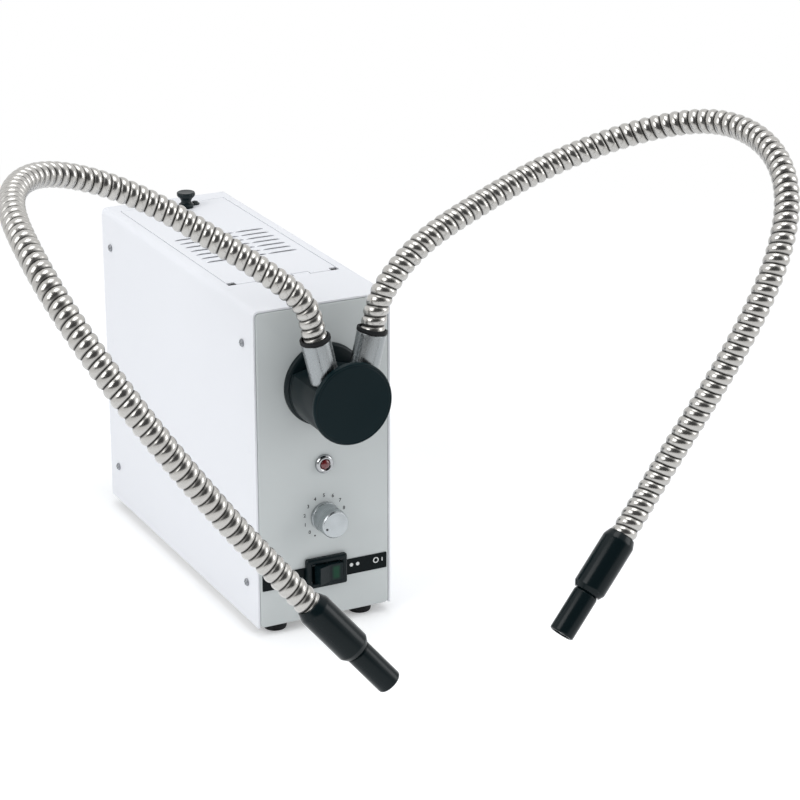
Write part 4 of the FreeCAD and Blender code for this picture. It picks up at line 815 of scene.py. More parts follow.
def nozzle_parts():
    """Local profiles of the grip, the slim sleeve and the glass, from the hose's end."""
    size = sizes()
    grip = size.grip_radius * 1000
    tip = size.tip_radius * 1000
    body = turned(fillets([
        (5.0, 2.0, 0), (5.0, 0.0, 0.3), (7.3, 0.0, 0.5), (grip, 4.0, 0.9), (grip, 33.2, 0.5),
        (tip + 0.9, 35.4, 0.3), (tip + 0.6, 36.0, 0.2), (5.0, 36.0, 0.1), (5.0, 2.0, 0),
    ]), closed=True)
    sleeve = turned(fillets([
        (4.0, 36.0, 0), (4.0, 26.2, 0.2), (4.85, 26.2, 0.2), (4.85, 36.0, 0), (5.9, 36.05, 0.2),
        (tip - 0.5, 36.6, 0.2), (tip, 37.2, 0.3), (tip, 61.3, 0.5), (tip - 0.6, 62.0, 0.3),
        (5.35, 62.0, 0.15), (5.2, 61.5, 0.1), (5.2, 59.5, 0.1), (4.0, 59.5, 0.1), (4.0, 36.0, 0),
    ]), closed=True)
    across = np.linspace(0, 5.1, 10)
    dome = np.column_stack([across[::-1], 61.0 + 0.5 * (1 - (across[::-1] / 5.1) ** 2)])
    glass = turned(np.vstack([[(0.0, 59.5), (5.1, 59.5)], dome]), closed=False)
    return body, sleeve, glass


def build_arm(side, route):
    line = arm_line(route)
    points, lengths, directions = line[:3]
    rigid = {"neck_lower_run": side + "_lower_arm", "neck_upper_run": side + "_upper_arm"}
    for stretch, first, last in STRETCHES:
        part, marks = hose_stretch(line, first, last)
        node = side + "_" + stretch
        mesh = new_mesh(node + "_hose", part, marks=marks)
        body = rigid.get(stretch)
        piece = add_piece(node + "_hose", mesh, finish_of("hose steel"), body, (node,), sharp=60)
        if not body:
            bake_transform(piece)
    end = points[-1]
    axis = np.array(route[-1], float) - np.array(route[-2], float)
    for label, part, finish, slot in zip(
        ("body", "tip", "lens"), nozzle_parts(),
        ("nozzle black", "nozzle black", "glass"), ("black_anodised", "black_anodised", "glass"),
    ):
        node = side + "_nozzle_" + label
        mesh = new_mesh(node + "_shell", along_axis(part, end, axis))
        add_piece(node + "_shell", mesh, finish_of(finish), side + "_nozzle", (node,))


# Light guide

def ferrule_axis(side):
    lean = np.array((side * 3.0, 0.0, 13.0))
    return lean / np.linalg.norm(lean)


def ferrule_point(side, back):
    """A point on the ferrule's axis, measured back from its top face."""
    return np.array((side * 16.0, -142.0, 180.0)) - ferrule_axis(side) * back


def splitter_outline(radius, count=160):
    """The splitter's outline seen from the front: a circle cut by the two planes that the ferrules stand
    on. At each angle the reach is the smaller of the radius and the distance to a plane."""
    angle = np.linspace(0, 2 * np.pi, count, endpoint=False) + np.pi / 2
    direction = np.column_stack([np.cos(angle), np.sin(angle)])
    reach = np.full(count, radius)
    for side in (-1, 1):
        normal = ferrule_axis(side)[[0, 2]]
        seat = ferrule_point(side, 20.5)
        height = normal @ (np.array((seat[0], seat[2] - LAMP_Z)))
        toward = direction @ normal
        cut = np.where(toward > 1e-6, height / np.maximum(toward, 1e-6), np.inf)
        same_side = direction[:, 0] * side >= -1e-9
        reach = np.where(same_side, np.minimum(reach, cut), reach)
    return direction * reach[:, None]


def build_splitter():
    radius = sizes().head_radius * 1000
    rows = []
    bore = 9.05
    for kind, value, height in (
        ("bore", bore, 27.0), ("bore", bore, 0.5), ("bore", bore + 0.4, 0.1), ("edge", 0.6, 0.1), ("edge", 0.15, 0.2),
        ("edge", 0.0, 0.6), ("edge", 0.0, 1.9), ("edge", 0.35, 2.1), ("edge", 0.35, 2.7), ("edge", 0.0, 2.9),
        ("edge", 0.0, 31.6), ("edge", 0.15, 32.0), ("edge", 0.5, 32.2), ("point", 0.0, 32.2),
    ):
        outline = splitter_outline(radius)
        if kind == "bore":
            outline = outline / np.linalg.norm(outline, axis=1)[:, None] * value
        elif kind == "edge":
            outline = outline * (1 - value / radius)
        else:
            outline = outline * 0
        rows.append(np.column_stack([outline, np.full(len(outline), height)]))
    floor = rows[0] * np.array((0, 0, 1))
    part = grid(np.stack([floor] + rows))
    mesh = new_mesh("splitter_block", to_front(part, 0, -118.8, LAMP_Z))
    add_piece("splitter_block", mesh, finish_of("splitter black"), "guide_splitter", ("guide_head",))

    cap = sizes().cap_radius * 1000
    profile = fillets([
        (0.0, 0.0, 0), (cap - 0.3, 0.0, 0.2), (cap, 0.3, 0.2), (cap, 2.1, 0.5), (cap - 0.8, 3.0, 0.5),
        (cap - 1.3, 3.0, 0.1), (cap - 1.5, 2.85, 0.1), (cap - 1.9, 2.85, 0.1), (cap - 2.1, 3.0, 0.1), (0.0, 3.0, 0),
    ], steps=3)
    mesh = new_mesh("splitter_front_disc", to_front(turned(profile, 128), 0, -151.0, LAMP_Z))
    add_piece("splitter_front_disc", mesh, finish_of("cap black"), "guide_splitter", ("guide_cap",))

    sleeves = []
    rings = []
    for side in (-1, 1):
        sleeve = turned(fillets([
            (5.0, 20.5, 0), (5.0, -6.0, 0.2), (6.2, -6.0, 0.3), (6.2, 0.0, 0), (7.9, 0.0, 0.1), (8.25, 0.35, 0.2),
            (8.25, 24.2, 0.2), (7.9, 24.5, 0.2), (7.4, 24.5, 0.1), (7.4, 20.5, 0), (5.0, 20.5, 0),
        ]), closed=True)
        sleeves.append(along_axis(sleeve, ferrule_point(side, 20.5), ferrule_axis(side)))
        ring = turned(fillets([
            (7.4, 1.2, 0), (7.4, 0.0, 0.3), (8.6, 0.0, 0.9), (8.6, 2.5, 0.9), (7.4, 2.5, 0.3), (7.4, 1.2, 0),
        ], steps=6), closed=True)
        rings.append(along_axis(ring, ferrule_point(side, -4.0), ferrule_axis(side)))
    mesh = new_mesh("ferrule_sleeves", together(sleeves))
    add_piece("ferrule_sleeves", mesh, finish_of("ferrule aluminium"), "guide_splitter", ("ferrules",))
    mesh = new_mesh("ferrule_rings", together(rings))
    add_piece("ferrule_rings", mesh, finish_of("rubber"), "guide_splitter", ("ferrule_collars",))

    socket = turned(fillets([
        (12.5, 0.0, 0), (12.5, 3.0, 0.2), (12.9, 3.5, 0.2), (22.9, 3.5, 0.6), (24.2, 2.5, 0.6), (24.2, 0.0, 0.1),
        (15.0, 0.0, 0), (15.0, -17.0, 0.4), (12.5, -17.0, 0.3), (12.5, 0.0, 0),
    ]), closed=True)
    mesh = new_mesh("socket_flange", to_front(socket, 0, FACE_Y, LAMP_Z))
    add_piece("socket_flange", mesh, finish_of("splitter black"), "case", ("guide_socket",))


# Case

def panel_face(outline_for, hole_radius, steps):
    """A folded tray with a round hole. Rays from the hole's centre carry its circle out to the rounded
    outline; the steps give each ring as a hole ring or an outline ring with its insets and depth."""
    rows = []
    for kind, inset_x, inset_z, depth in steps:
        outline = outline_for(inset_x, inset_z)
        if kind == "hole":
            toward = outline_for(0, 0) - np.array((0, LAMP_Z - PANEL_MIDDLE_Z))
            ring = toward / np.linalg.norm(toward, axis=1)[:, None] * hole_radius
            outline = ring + np.array((0, LAMP_Z - PANEL_MIDDLE_Z))
        rows.append(np.column_stack([outline, np.full(len(outline), depth)]))
    return grid(np.stack(rows), close_rows=True)


def build_case():
    corner = sizes().panel_corner * 1000

    def outline_for(inset_x, inset_z):
        return frame_outline(40.6 - inset_x, 94.3 - inset_z, max(corner - min(inset_x, inset_z), 0.4), 10)

    steps = [("hole", 0, 0, -2.0), ("hole", 0, 0, 0.0)]
    for turn in np.linspace(0, np.pi / 2, 7):
        steps.append(("edge", 1 - np.sin(turn), 1 - np.sin(turn), np.cos(turn) - 1))
    steps += [
        ("edge", 0, 0, -4.7), ("edge", 0.3, 0.3, -5.0), ("edge", 1.8, 1.8, -5.0), ("edge", 2.0, 2.0, -4.7),
        ("edge", 2.0, 2.0, -2.0),
    ]
    face = to_front(panel_face(outline_for, 15.2, steps), 0, FACE_Y, PANEL_MIDDLE_Z)
    flanges = []
    for side in (-1, 1):
        strip = plate(0.75, 88.0, 0.4, [(None, -20.5), (0.2, -20.5), (0.0, -20.3), (0.0, 0.5), (None, 0.5)], per_corner=3)
        flanges.append(to_front(strip, side * 39.85, FACE_Y + 2.5, 101.0))
    mesh = new_mesh("front_panel_tray", together([face] + flanges))
    add_piece("front_panel_tray", mesh, finish_of("panel paint"), "case", ("front_panel",), sharp=40)

    radius = sizes().cover_corner * 1000
    quarter = np.linspace(0, np.pi / 2, 8)
    left = np.column_stack([-42 + radius - radius * np.cos(quarter), CASE_TOP - radius + radius * np.sin(quarter)])
    right = left[::-1] * np.array((-1, 1))
    path = np.vstack([
        [(-42.0, 6.0), (-42.0, 30.0), (-42.0, 101.0)], left, [(-34.5, CASE_TOP), (34.5, CASE_TOP)], right,
        [(42.0, 101.0), (42.0, 30.0), (42.0, 6.0)],
    ])
    stations = np.array([-114.8, -65.4, 0.0, 101.5, 113.8])
    points = np.stack([np.column_stack([path[:, 0], np.full(len(path), y), path[:, 1]]) for y in stations])
    vertices, faces = grid(points, close_columns=False)
    middles = vertices[faces].mean(axis=1)
    in_hatch = (np.abs(middles[:, 0]) < 34.0) & (middles[:, 2] > CASE_TOP - 0.1)
    in_hatch &= (middles[:, 1] > -65.4) & (middles[:, 1] < 101.5)
    mesh = new_mesh("cover_sheet", (vertices, faces[~in_hatch]))
    outward_x = np.zeros(len(mesh.polygons) * 3, np.float32)
    mesh.polygons.foreach_get("normal", outward_x)
    centres = np.zeros(len(mesh.polygons) * 3, np.float32)
    mesh.polygons.foreach_get("center", centres)
    if (outward_x.reshape(-1, 3) * centres.reshape(-1, 3)).sum() < 0:
        mesh.flip_normals()
    cover = add_piece("cover_sheet", mesh, finish_of("cover paint"), "case", ("cover_shell",), sharp=40)
    wall = cover.modifiers.new("sheet", "SOLIDIFY")
    wall.thickness = 0.0012
    wall.offset = -1.0
    bevelled(cover, 0.0002)

    marks = []
    for y in (-104.0, 103.0):
        for side in (-1, 1):
            press = turned(fillets([(0.0, -0.6, 0), (2.6, -0.6, 0), (2.6, 0.02, 0.1), (2.0, 0.16, 0.3), (0.0, 0.16, 0)]), 32)
            marks.append(along_axis(press, (side * 42.0, y, 112.0), (side, 0, 0)))
    mesh = new_mesh("cover_spot_welds", together(marks))
    add_piece("cover_spot_welds", mesh, finish_of("cover paint"), "case", ())

    knuckles = []
    for x in (-11.0, 11.0):
        eye = turned(fillets([(1.25, 0, 0), (1.25, 5.0, 0.2), (2.1, 5.0, 0.3), (2.1, -5.0, 0.3), (1.25, -5.0, 0.2), (1.25, 0, 0)]), 32, closed=True)
        knuckles.append(along_axis(eye, (x, -63.0, 194.2), (1, 0, 0)))
        web = plate(5.0, 1.2, 0.2, [(None, 0.0), (0.0, 0.0), (0.0, 1.15), (None, 1.15)], per_corner=3)
        knuckles.append(to_top(web, x, -65.2, 194.82))
    shelf = plate(13.0, 9.0, 1.0, [(None, 0.0), (0.2, 0.0), (0.0, 0.2), (0.0, 1.3), (0.2, 1.5), (None, 1.5)])
    knuckles.append(to_top(shelf, 5.0, 92.5, 193.0))
    step = plate(13.0, 3.0, 0.5, [(None, 0.0), (0.0, 0.0), (0.0, 1.7), (None, 1.7)], per_corner=3)
    knuckles.append(to_top(step, 5.0, 105.0, 193.1))
    mesh = new_mesh("cover_hinge_and_shelf", together(knuckles))
    add_piece("cover_hinge_and_shelf", mesh, finish_of("cover paint"), "case", ())


def pan_head(radius, height, shank_radius, shank_length):
    """A pan head screw: a low dome over a straight side, on a plain shank."""
    arc = np.linspace(0, np.pi / 2, 7)
    dome = np.column_stack([radius * np.cos(arc) ** 0.8, height * 0.35 + height * 0.65 * np.sin(arc)])
    dome[-1, 0] = 0.0
    start = [(0.0, -shank_length), (shank_radius, -shank_length), (shank_radius, 0.0), (radius * 0.97, 0.0), (radius, height * 0.2)]
    return turned(np.vstack([start, dome]), 40)


def cross_slot(radius, top):
    """The cross recess as painted shade: two dark crossed bars set in the head in place of the hollow."""
    bars = []
    for half_x, half_y in ((radius * 0.62, radius * 0.13), (radius * 0.13, radius * 0.62)):
        bars.append(plate(half_x, half_y, radius * 0.08, [(None, top - 0.5), (0, top - 0.5), (0, top), (None, top)], per_corner=3))
    return together(bars)


def build_screws_and_feet():
    heads = []
    recess_shades = []
    for side in (-1, 1):
        for y in (-100.0, 100.0):
            for z in (29.5, 174.0):
                origin, axis = (side * 42.0, y, z), (side, 0, 0)
                heads.append(along_axis(pan_head(2.3, 1.5, 1.45, 7.0), origin, axis))
                recess_shades.append(along_axis(cross_slot(2.3, 1.46), origin, axis))
    mesh = new_mesh("side_screws", together(heads))
    add_piece("side_screws", mesh, finish_of("screw grey"), "case", ("cover_screws",))
    rear = []
    for x in (-25.0, 25.0):
        for z in (LAMP_Z - 25, LAMP_Z + 25):
            rear.append(to_rear(pan_head(3.2, 1.8, 1.6, 12.5), x, 114.0, z))
            recess_shades.append(to_rear(cross_slot(3.2, 1.76), x, 114.0, z))
    mesh = new_mesh("fan_screw_set", together(rear))
    add_piece("fan_screw_set", mesh, finish_of("screw black"), "case", ("fan_screws",))
    # Painted shade: the dark bars stand for the shade in the screws' cross recesses.
    mesh = new_mesh("screw_recess_shade", together(recess_shades))
    add_piece("screw_recess_shade", mesh, finish_of("rubber"), "case", ())

    feet = []
    screws = []
    for x in (-27.0, 27.0):
        for y in (-104.0, 104.0):
            foot = turned(fillets([
                (1.7, 4.5, 0), (1.7, 3.0, 0.1), (3.2, 3.0, 0.1), (3.2, 0.0, 0.3), (6.5, 0.0, 0.8), (7.1, 3.2, 0.4),
                (7.45, 5.2, 0.4), (7.3, 6.0, 0.3), (1.7, 6.0, 0.1), (1.7, 4.5, 0),
            ]), 64, closed=True)
            feet.append(to_top(foot, x, y, 0.0))
            screw = turned(fillets([
                (0.0, 1.4, 0), (2.6, 1.4, 0.4), (3.0, 1.8, 0.3), (3.0, 3.0, 0), (1.5, 3.0, 0), (1.5, 11.4, 0.2), (0.0, 11.4, 0),
            ]), 32)
            screws.append(to_top(screw, x, y, 0.0))
    mesh = new_mesh("feet", together(feet))
    add_piece("feet", mesh, finish_of("rubber"), "case", ("rubber_feet",))
    mesh = new_mesh("foot_screw_set", together(screws))
    add_piece("foot_screw_set", mesh, finish_of("steel"), "case", ("foot_screws",))


# Hatch

def louvre_hood(length, width, height):
    """A pressed louvre: a quarter round that rises from the plate behind the slot and ends above it, open
    to the front and fading into the plate at both ends. Its height is a quarter sine across, times a power of the
    distance from the ends along; a copy set lower gives it its sheet."""
    u = np.linspace(-1, 1, 17)
    v = np.linspace(0, 1, 7)
    across = (0.5 - v[None]) * width + 0 * u[:, None]
    along = u[:, None] * length / 2 + 0 * v[None]
    rise = height * np.sin(v[None] * np.pi / 2) * (1 - np.abs(u[:, None]) ** 6)
    top = np.stack([along, across, rise + 0.02], axis=-1)
    low = np.stack([along, across, rise - 0.4], axis=-1)
    ring = np.concatenate([top, low[:, ::-1]], axis=1)[:, ::-1]
    ends = [ring[:1].mean(axis=1, keepdims=True) + 0 * ring[:1], ring, ring[-1:].mean(axis=1, keepdims=True) + 0 * ring[-1:]]
    return grid(np.concatenate(ends, axis=0))


def build_hatch():
    xs = [-34.0]
    for column in (-19.5, 0.0, 19.5):
        xs += [column - 9.0, column + 9.0]
    xs.append(34.0)
    ys = [-60.6]
    rows = -19.0 + 8.0 * np.arange(7)
    for row in rows:
        ys += [row - 1.2, row + 1.2]
    ys.append(101.0)
    xs, ys = np.array(xs), np.array(ys)
    points = np.stack(np.meshgrid(xs, ys, indexing="xy") + [np.full((len(ys), len(xs)), CASE_TOP)], axis=-1)
    vertices, faces = grid(points, close_columns=False)
    middles = vertices[faces].mean(axis=1)
    in_row = (np.abs(middles[:, 1][:, None] - rows[None]) < 1.0).any(axis=1)
    in_column = (np.abs(middles[:, 0][:, None] - np.array((-19.5, 0.0, 19.5))[None]) < 8.0).any(axis=1)
    mesh = new_mesh("hatch_plate", (vertices, faces[~(in_row & in_column)]))
    normals = np.zeros(len(mesh.polygons) * 3, np.float32)
    mesh.polygons.foreach_get("normal", normals)
    if normals.reshape(-1, 3)[:, 2].mean() < 0:
        mesh.flip_normals()
    lid = add_piece("hatch_plate", mesh, finish_of("cover paint"), "lamp_hatch", ("hatch_lid",), sharp=40)
    wall = lid.modifiers.new("sheet", "SOLIDIFY")
    wall.thickness = 0.0012
    wall.offset = -1.0
    bevelled(lid, 0.0002)

    parts = []
    for column in (-19.5, 0.0, 19.5):
        for row in rows:
            parts.append(to_top(louvre_hood(18.4, 2.3, 0.70), column, row + 0.35, CASE_TOP))
    for side in (-1, 1):
        lip = plate(0.6, 78.3, 0.3, [(None, 0.0), (0.1, 0.0), (0.0, 0.2), (0.0, 5.1), (None, 5.1)], per_corner=3)
        parts.append(to_top(lip, side * 33.4, 20.2, 189.8))
        eye = turned(fillets([(1.25, 0, 0), (1.25, 5.0, 0.2), (2.1, 5.0, 0.3), (2.1, -5.0, 0.3), (1.25, -5.0, 0.2), (1.25, 0, 0)]), 32, closed=True)
        parts.append(along_axis(eye, (side * 24.0, -63.0, 194.2), (1, 0, 0)))
        web = plate(5.0, 1.2, 0.2, [(None, 0.0), (0.0, 0.0), (0.0, 1.15), (None, 1.15)], per_corner=3)
        parts.append(to_top(web, side * 24.0, -60.8, 194.82))
    for low, high in ((-29.5, -16.6), (-5.4, 5.4), (16.6, 29.5)):
        lip = plate((high - low) / 2, 2.0, 0.2, [(None, 0.0), (0.1, 0.0), (0.0, 0.1), (0.0, 0.4), (0.1, 0.5), (None, 0.5)], per_corner=3)
        parts.append(to_top(lip, (low + high) / 2, -62.5, CASE_TOP - 0.5))
    mesh = new_mesh("hatch_louvres_and_lips", together(parts))
    add_piece("hatch_louvres_and_lips", mesh, finish_of("cover paint"), "lamp_hatch", ())

    arc = np.linspace(-np.pi / 2, 2.5, 14)
    ball = np.column_stack([1.8 * np.cos(arc), 31.5 - 1.8 * np.sin(arc[::-1])])
    ball_end = np.column_stack([1.8 * np.cos(np.linspace(0.73, np.pi / 2, 9)), 31.5 + 1.8 * np.sin(np.linspace(0.73, np.pi / 2, 9))])
    ball_in = np.column_stack([1.8 * np.cos(np.linspace(-0.84, 0.73, 9)), 31.5 + 1.8 * np.sin(np.linspace(-0.84, 0.73, 9))])
    half = np.vstack([[(1.2, 30.16)], ball_in, ball_end])
    half[-1, 0] = 0.0
    profile = np.vstack([half[::-1] * np.array((1, -1)), half])
    mesh = new_mesh("hinge_wire", along_axis(turned(profile, 32), (0, -63.0, 194.2), (1, 0, 0)))
    add_piece("hinge_wire", mesh, finish_of("screw black"), "case", ("hatch_hinge_pin",))

    profile = fillets([
        (0.0, 1.0, 0), (4.6, 1.0, 0.3), (4.6, 2.3, 0.5), (3.0, 3.4, 0.8), (3.4, 5.4, 1.2), (5.7, 7.8, 0.8), (5.7, 9.4, 0.5),
        (5.1, 10.0, 0.5), (2.6, 9.75, 1.0), (0.0, 9.75, 0),
    ], steps=5)
    angle_count = 72
    vertices, faces = turned(profile, angle_count)
    angle = np.arctan2(vertices[:, 1], vertices[:, 0])
    height = vertices[:, 2]
    flute = 1 - 0.035 * (0.5 + 0.5 * np.cos(18 * angle)) * (height > 7.9) * (height < 9.7)
    vertices = vertices * np.column_stack([flute, flute, np.ones(len(flute))])
    stud = turned(fillets([(0.0, -6.0, 0), (1.9, -6.0, 0), (2.1, -5.7, 0.1), (2.1, 1.5, 0), (0.0, 1.5, 0)]), 32)
    part = together([(vertices, faces), stud])
    mesh = new_mesh("thumb_knob", to_top(part, 5.0, 91.0, CASE_TOP))
    add_piece("thumb_knob", mesh, finish_of("thumb black"), "hatch_catch", ("hatch_knob",))

    along = np.array((7.5, 4.3, 0.0))
    length = np.linalg.norm(along)
    along /= length
    across = np.array((-along[1], along[0], 0.0))
    angle = np.linspace(0, 2 * np.pi, 48, endpoint=False)
    outer_eye = np.column_stack([4.4 * np.cos(angle), 4.4 * np.sin(angle)])
    inner_eye = outer_eye / 4.4 * 2.6
    rows = [
        np.column_stack([inner_eye, np.full(48, 0.0)]), np.column_stack([inner_eye, np.full(48, 0.8)]),
        np.column_stack([outer_eye * 0.96, np.full(48, 0.8)]), np.column_stack([outer_eye, np.full(48, 0.65)]),
        np.column_stack([outer_eye, np.full(48, 0.0)]),
    ]
    eye = grid(np.stack(rows), close_rows=True)
    link = plate((length - 4.6) / 2 + 1.0, 1.8, 0.8, [(None, 0.0), (0.0, 0.0), (0.0, 0.6), (0.15, 0.75), (None, 0.75)], per_corner=4)
    link = moved(link, along * (length / 2 + 1.4), along, across, (0, 0, 1))
    boss = turned(fillets([(0.0, -2.6, 0), (1.1, -2.6, 0.2), (1.1, 0.0, 0), (3.0, 0.0, 0.1), (3.0, 0.8, 0.3), (2.2, 0.9, 0.3), (1.9, 1.7, 0.5), (0.9, 2.2, 0.4), (0.0, 2.2, 0)]), 40)
    boss = moved(boss, along * length, (1, 0, 0), (0, 1, 0), (0, 0, 1))
    mesh = new_mesh("knob_tether", to_top(together([eye, link, boss]), 5.0, 91.0, CASE_TOP))
    add_piece("knob_tether", mesh, finish_of("thumb black"), "lamp_hatch", ("knob_strap",))


# Front controls

def build_controls():
    bezel = turned(fillets([
        (0.0, -16.0, 0), (4.0, -16.0, 0.3), (4.0, 0.0, 0), (5.65, 0.0, 0.2), (5.65, 0.9, 0.5), (4.9, 2.3, 1.0), (3.7, 2.5, 0.6),
        (3.0, 1.9, 0.2), (2.95, 1.4, 0.1), (2.95, -3.0, 0), (0.0, -3.0, 0),
    ]), 72)
    mesh = new_mesh("indicator_ring", to_front(bezel, 0, FACE_Y, 100.0))
    add_piece("indicator_ring", mesh, finish_of("chrome"), "case", ("indicator_bezel",))
    arc = np.linspace(0, np.pi / 2, 12)
    dome = np.column_stack([2.9 * np.cos(arc), 1.5 + 1.5 * np.sin(arc)])
    dome[-1, 0] = 0.0
    lens = turned(np.vstack([[(0.0, -2.9), (2.9, -2.9)], dome]), 48)
    mesh = new_mesh("indicator_dome", to_front(lens, 0, FACE_Y, 100.0))
    add_piece("indicator_dome", mesh, finish_of("indicator red"), "case", ("indicator_lens",))

    radius = sizes().knob_radius * 1000
    face = np.linspace(radius - 1.4, 0.0, 10)
    crown = np.column_stack([face, 15.15 + 0.5 * (1 - (face / (radius - 1.4)) ** 2)])
    profile = np.vstack([fillets([
        (0.0, 13.0, 0), (3.02, 13.0, 0), (3.02, 4.2, 0), (6.6, 4.2, 0.2), (6.6, 0.0, 0.2), (radius, 0.0, 0.3), (radius, 2.2, 0.1),
        (radius - 0.25, 2.4, 0.1), (radius - 0.5, 14.2, 0.6), (radius - 1.3, 15.15, 0.3), (radius - 1.4, 15.15, 0),
    ]), crown])
    vertices, faces = turned(profile, 120)
    angle = np.arctan2(vertices[:, 1], vertices[:, 0])
    outside = (np.hypot(vertices[:, 0], vertices[:, 1]) > radius - 0.75) & (vertices[:, 2] > 2.6) & (vertices[:, 2] < 14.0)
    knurl = np.where(outside, 1 - 0.012 * (0.5 + 0.5 * np.cos(60 * angle)), 1.0)
    vertices = vertices * np.column_stack([knurl, knurl, np.ones(len(knurl))])
    mesh = new_mesh("dial_knob", to_front((vertices, faces), 0, FACE_Y - 0.3, KNOB_Z))
    add_piece("dial_knob", mesh, finish_of("dial metal"), "dimmer_dial", ("intensity_knob",))
    turn = math.radians(197.0)
    mark = turned(fillets([(0.0, 0.0, 0), (0.75, 0.0, 0), (0.75, 0.6, 0.1), (0.0, 0.6, 0)]), 24)
    mesh = new_mesh("dial_pointer", to_front(mark, 5.9 * math.cos(turn), FACE_Y - 0.3 - 14.85, KNOB_Z + 5.9 * math.sin(turn)))
    add_piece("dial_pointer", mesh, finish_of("ink"), "dimmer_dial", ())

    profile = [(None, 0.0), (0.0, 0.0), (0.0, 0.45), (0.15, 0.6), (None, 0.6)]
    band = plate(39.2, 4.8, 0.5, profile, per_corner=4)
    mesh = new_mesh("black_band", to_front(band, 0, FACE_Y, 33.5))
    add_piece("black_band", mesh, finish_of("band black"), "case", ("trim_band",))

    front = [
        (1.0, -0.0), (0.0, 0.0), (0.0, 1.9), (0.35, 2.6), (1.0, 3.0), (2.6, 3.0), (3.3, 2.6), (3.4, 2.0), (3.4, -6.0),
    ]
    rows = []
    for inset, height in front:
        outline = frame_outline(12.8 - inset, 9.1 - inset, max(1.2 - inset * 0.3, 0.3), 6)
        rows.append(np.column_stack([outline, np.full(len(outline), height)]))
    well = frame_outline(9.4, 5.7, 0.4, 6)
    rows.append(np.column_stack([well, np.full(len(well), -6.0)]))
    rows.append(np.column_stack([well * 0, np.full(len(well), -6.0)]))
    back = np.column_stack([frame_outline(10.5, 6.7, 0.5, 6), np.full(24, -22.0)])
    neck = np.column_stack([frame_outline(10.5, 6.7, 0.5, 6), np.full(24, 0.0)])
    rows = [back * np.array((0, 0, 1)), back, neck] + rows
    mesh = new_mesh("switch_frame", to_front(grid(np.stack(rows)), 0, FACE_Y - 0.6, SWITCH_Z))
    add_piece("switch_frame", mesh, finish_of("switch black"), "case", ("switch_housing",), sharp=25)

    steps = 24
    u = np.linspace(-7.9, 7.9, steps)
    face_height = 4.3 + 1.5 * np.abs(u / 7.9) ** 1.2
    top = np.column_stack([u, face_height])
    back = np.array([(7.9, -0.4), (3.2, -3.2), (-3.2, -3.2), (-7.9, -0.4)])
    outline = np.vstack([top, back])
    rocker = extruded(outline, -5.2, 5.2, 0.35)
    trunnion = turned(fillets([(0.0, -6.2, 0), (1.2, -6.2, 0.2), (1.2, 6.2, 0.2), (0.0, 6.2, 0)]), 24)
    part = together([rocker, trunnion])
    tilt = math.radians(10)
    across = (math.cos(tilt), math.sin(tilt), 0)
    out = (math.sin(tilt), -math.cos(tilt), 0)
    part = moved(part, (0, -116.6, SWITCH_Z), across, out, (0, 0, 1))
    mesh = new_mesh("rocker_key", part)
    add_piece("rocker_key", mesh, finish_of("rocker"), "rocker", ("switch_rocker",), sharp=25)


def flat_text(words, height):
    """Numerals as a thin mesh in local axes, centred: the font's outline made a mesh."""
    curve = bpy.data.curves.new("numeral", "FONT")
    curve.body = words
    curve.size = height
    curve.align_x = "CENTER"
    curve.align_y = "CENTER"
    curve.extrude = 0.04
    curve.offset = 0.05
    curve.resolution_u = 3
    holder = bpy.data.objects.new("numeral", curve)
    bpy.context.scene.collection.objects.link(holder)
    bpy.context.view_layer.update()
    mesh = bpy.data.meshes.new_from_object(holder)
    bpy.data.objects.remove(holder)
    bpy.data.curves.remove(curve)
    return mesh


def build_dial_marks():
    """Plain numbers 0 to 10 round the dial, evenly spaced, with a dot at the off position."""
    work = bmesh.new()
    for number in range(11):
        angle = math.radians(222.0 - 26.2 * number)
        mesh = flat_text(str(number), 3.0)
        place = Matrix.Translation((12.6 * math.cos(angle), FACE_Y - 0.04, KNOB_Z + 12.6 * math.sin(angle)))
        stand = Matrix.Rotation(math.radians(90), 4, "X")
        mesh.transform(Matrix.Scale(0.001, 4) @ place @ stand)
        work.from_mesh(mesh)
        bpy.data.meshes.remove(mesh)
    bmesh.ops.remove_doubles(work, verts=work.verts, dist=1e-6)
    mesh = bpy.data.meshes.new("dial_numbers")
    work.to_mesh(mesh)
    work.free()
    add_piece("dial_numbers", mesh, finish_of("ink"), "case", ())
    dots = []
    angle = math.radians(241.0)
    disc = turned(np.array([(0.0, 0.0), (0.55, 0.0), (0.55, 0.08), (0.0, 0.08)]), 20)
    dots.append(to_front(disc, 12.6 * math.cos(angle), FACE_Y, KNOB_Z + 12.6 * math.sin(angle)))
    mesh = new_mesh("dial_off_dot", together(dots))
    add_piece("dial_off_dot", mesh, finish_of("ink"), "case", ())
    pale = []
    for x in (16.5, 20.5):
        disc = turned(np.array([(0.0, 0.0), (1.1, 0.0), (1.1, 0.1), (0.0, 0.1)]), 24)
        pale.append(to_front(disc, x, FACE_Y - 0.6, 34.6))
    ring = turned(np.array([(1.2, 0.0), (1.2, 0.1), (1.8, 0.1), (1.8, 0.0)]), 32, closed=True)
    pale.append(to_front(ring, 32.2, FACE_Y - 0.6, 34.5))
    bar = plate(0.3, 1.1, 0.1, [(None, 0.0), (0, 0.0), (0, 0.1), (None, 0.1)], per_corner=3)
    pale.append(to_front(bar, 36.2, FACE_Y - 0.6, 34.5))
    mesh = new_mesh("band_marks", together(pale))
    add_piece("band_marks", mesh, finish_of("white ink"), "case", ())


# What the cover hides, and the rear

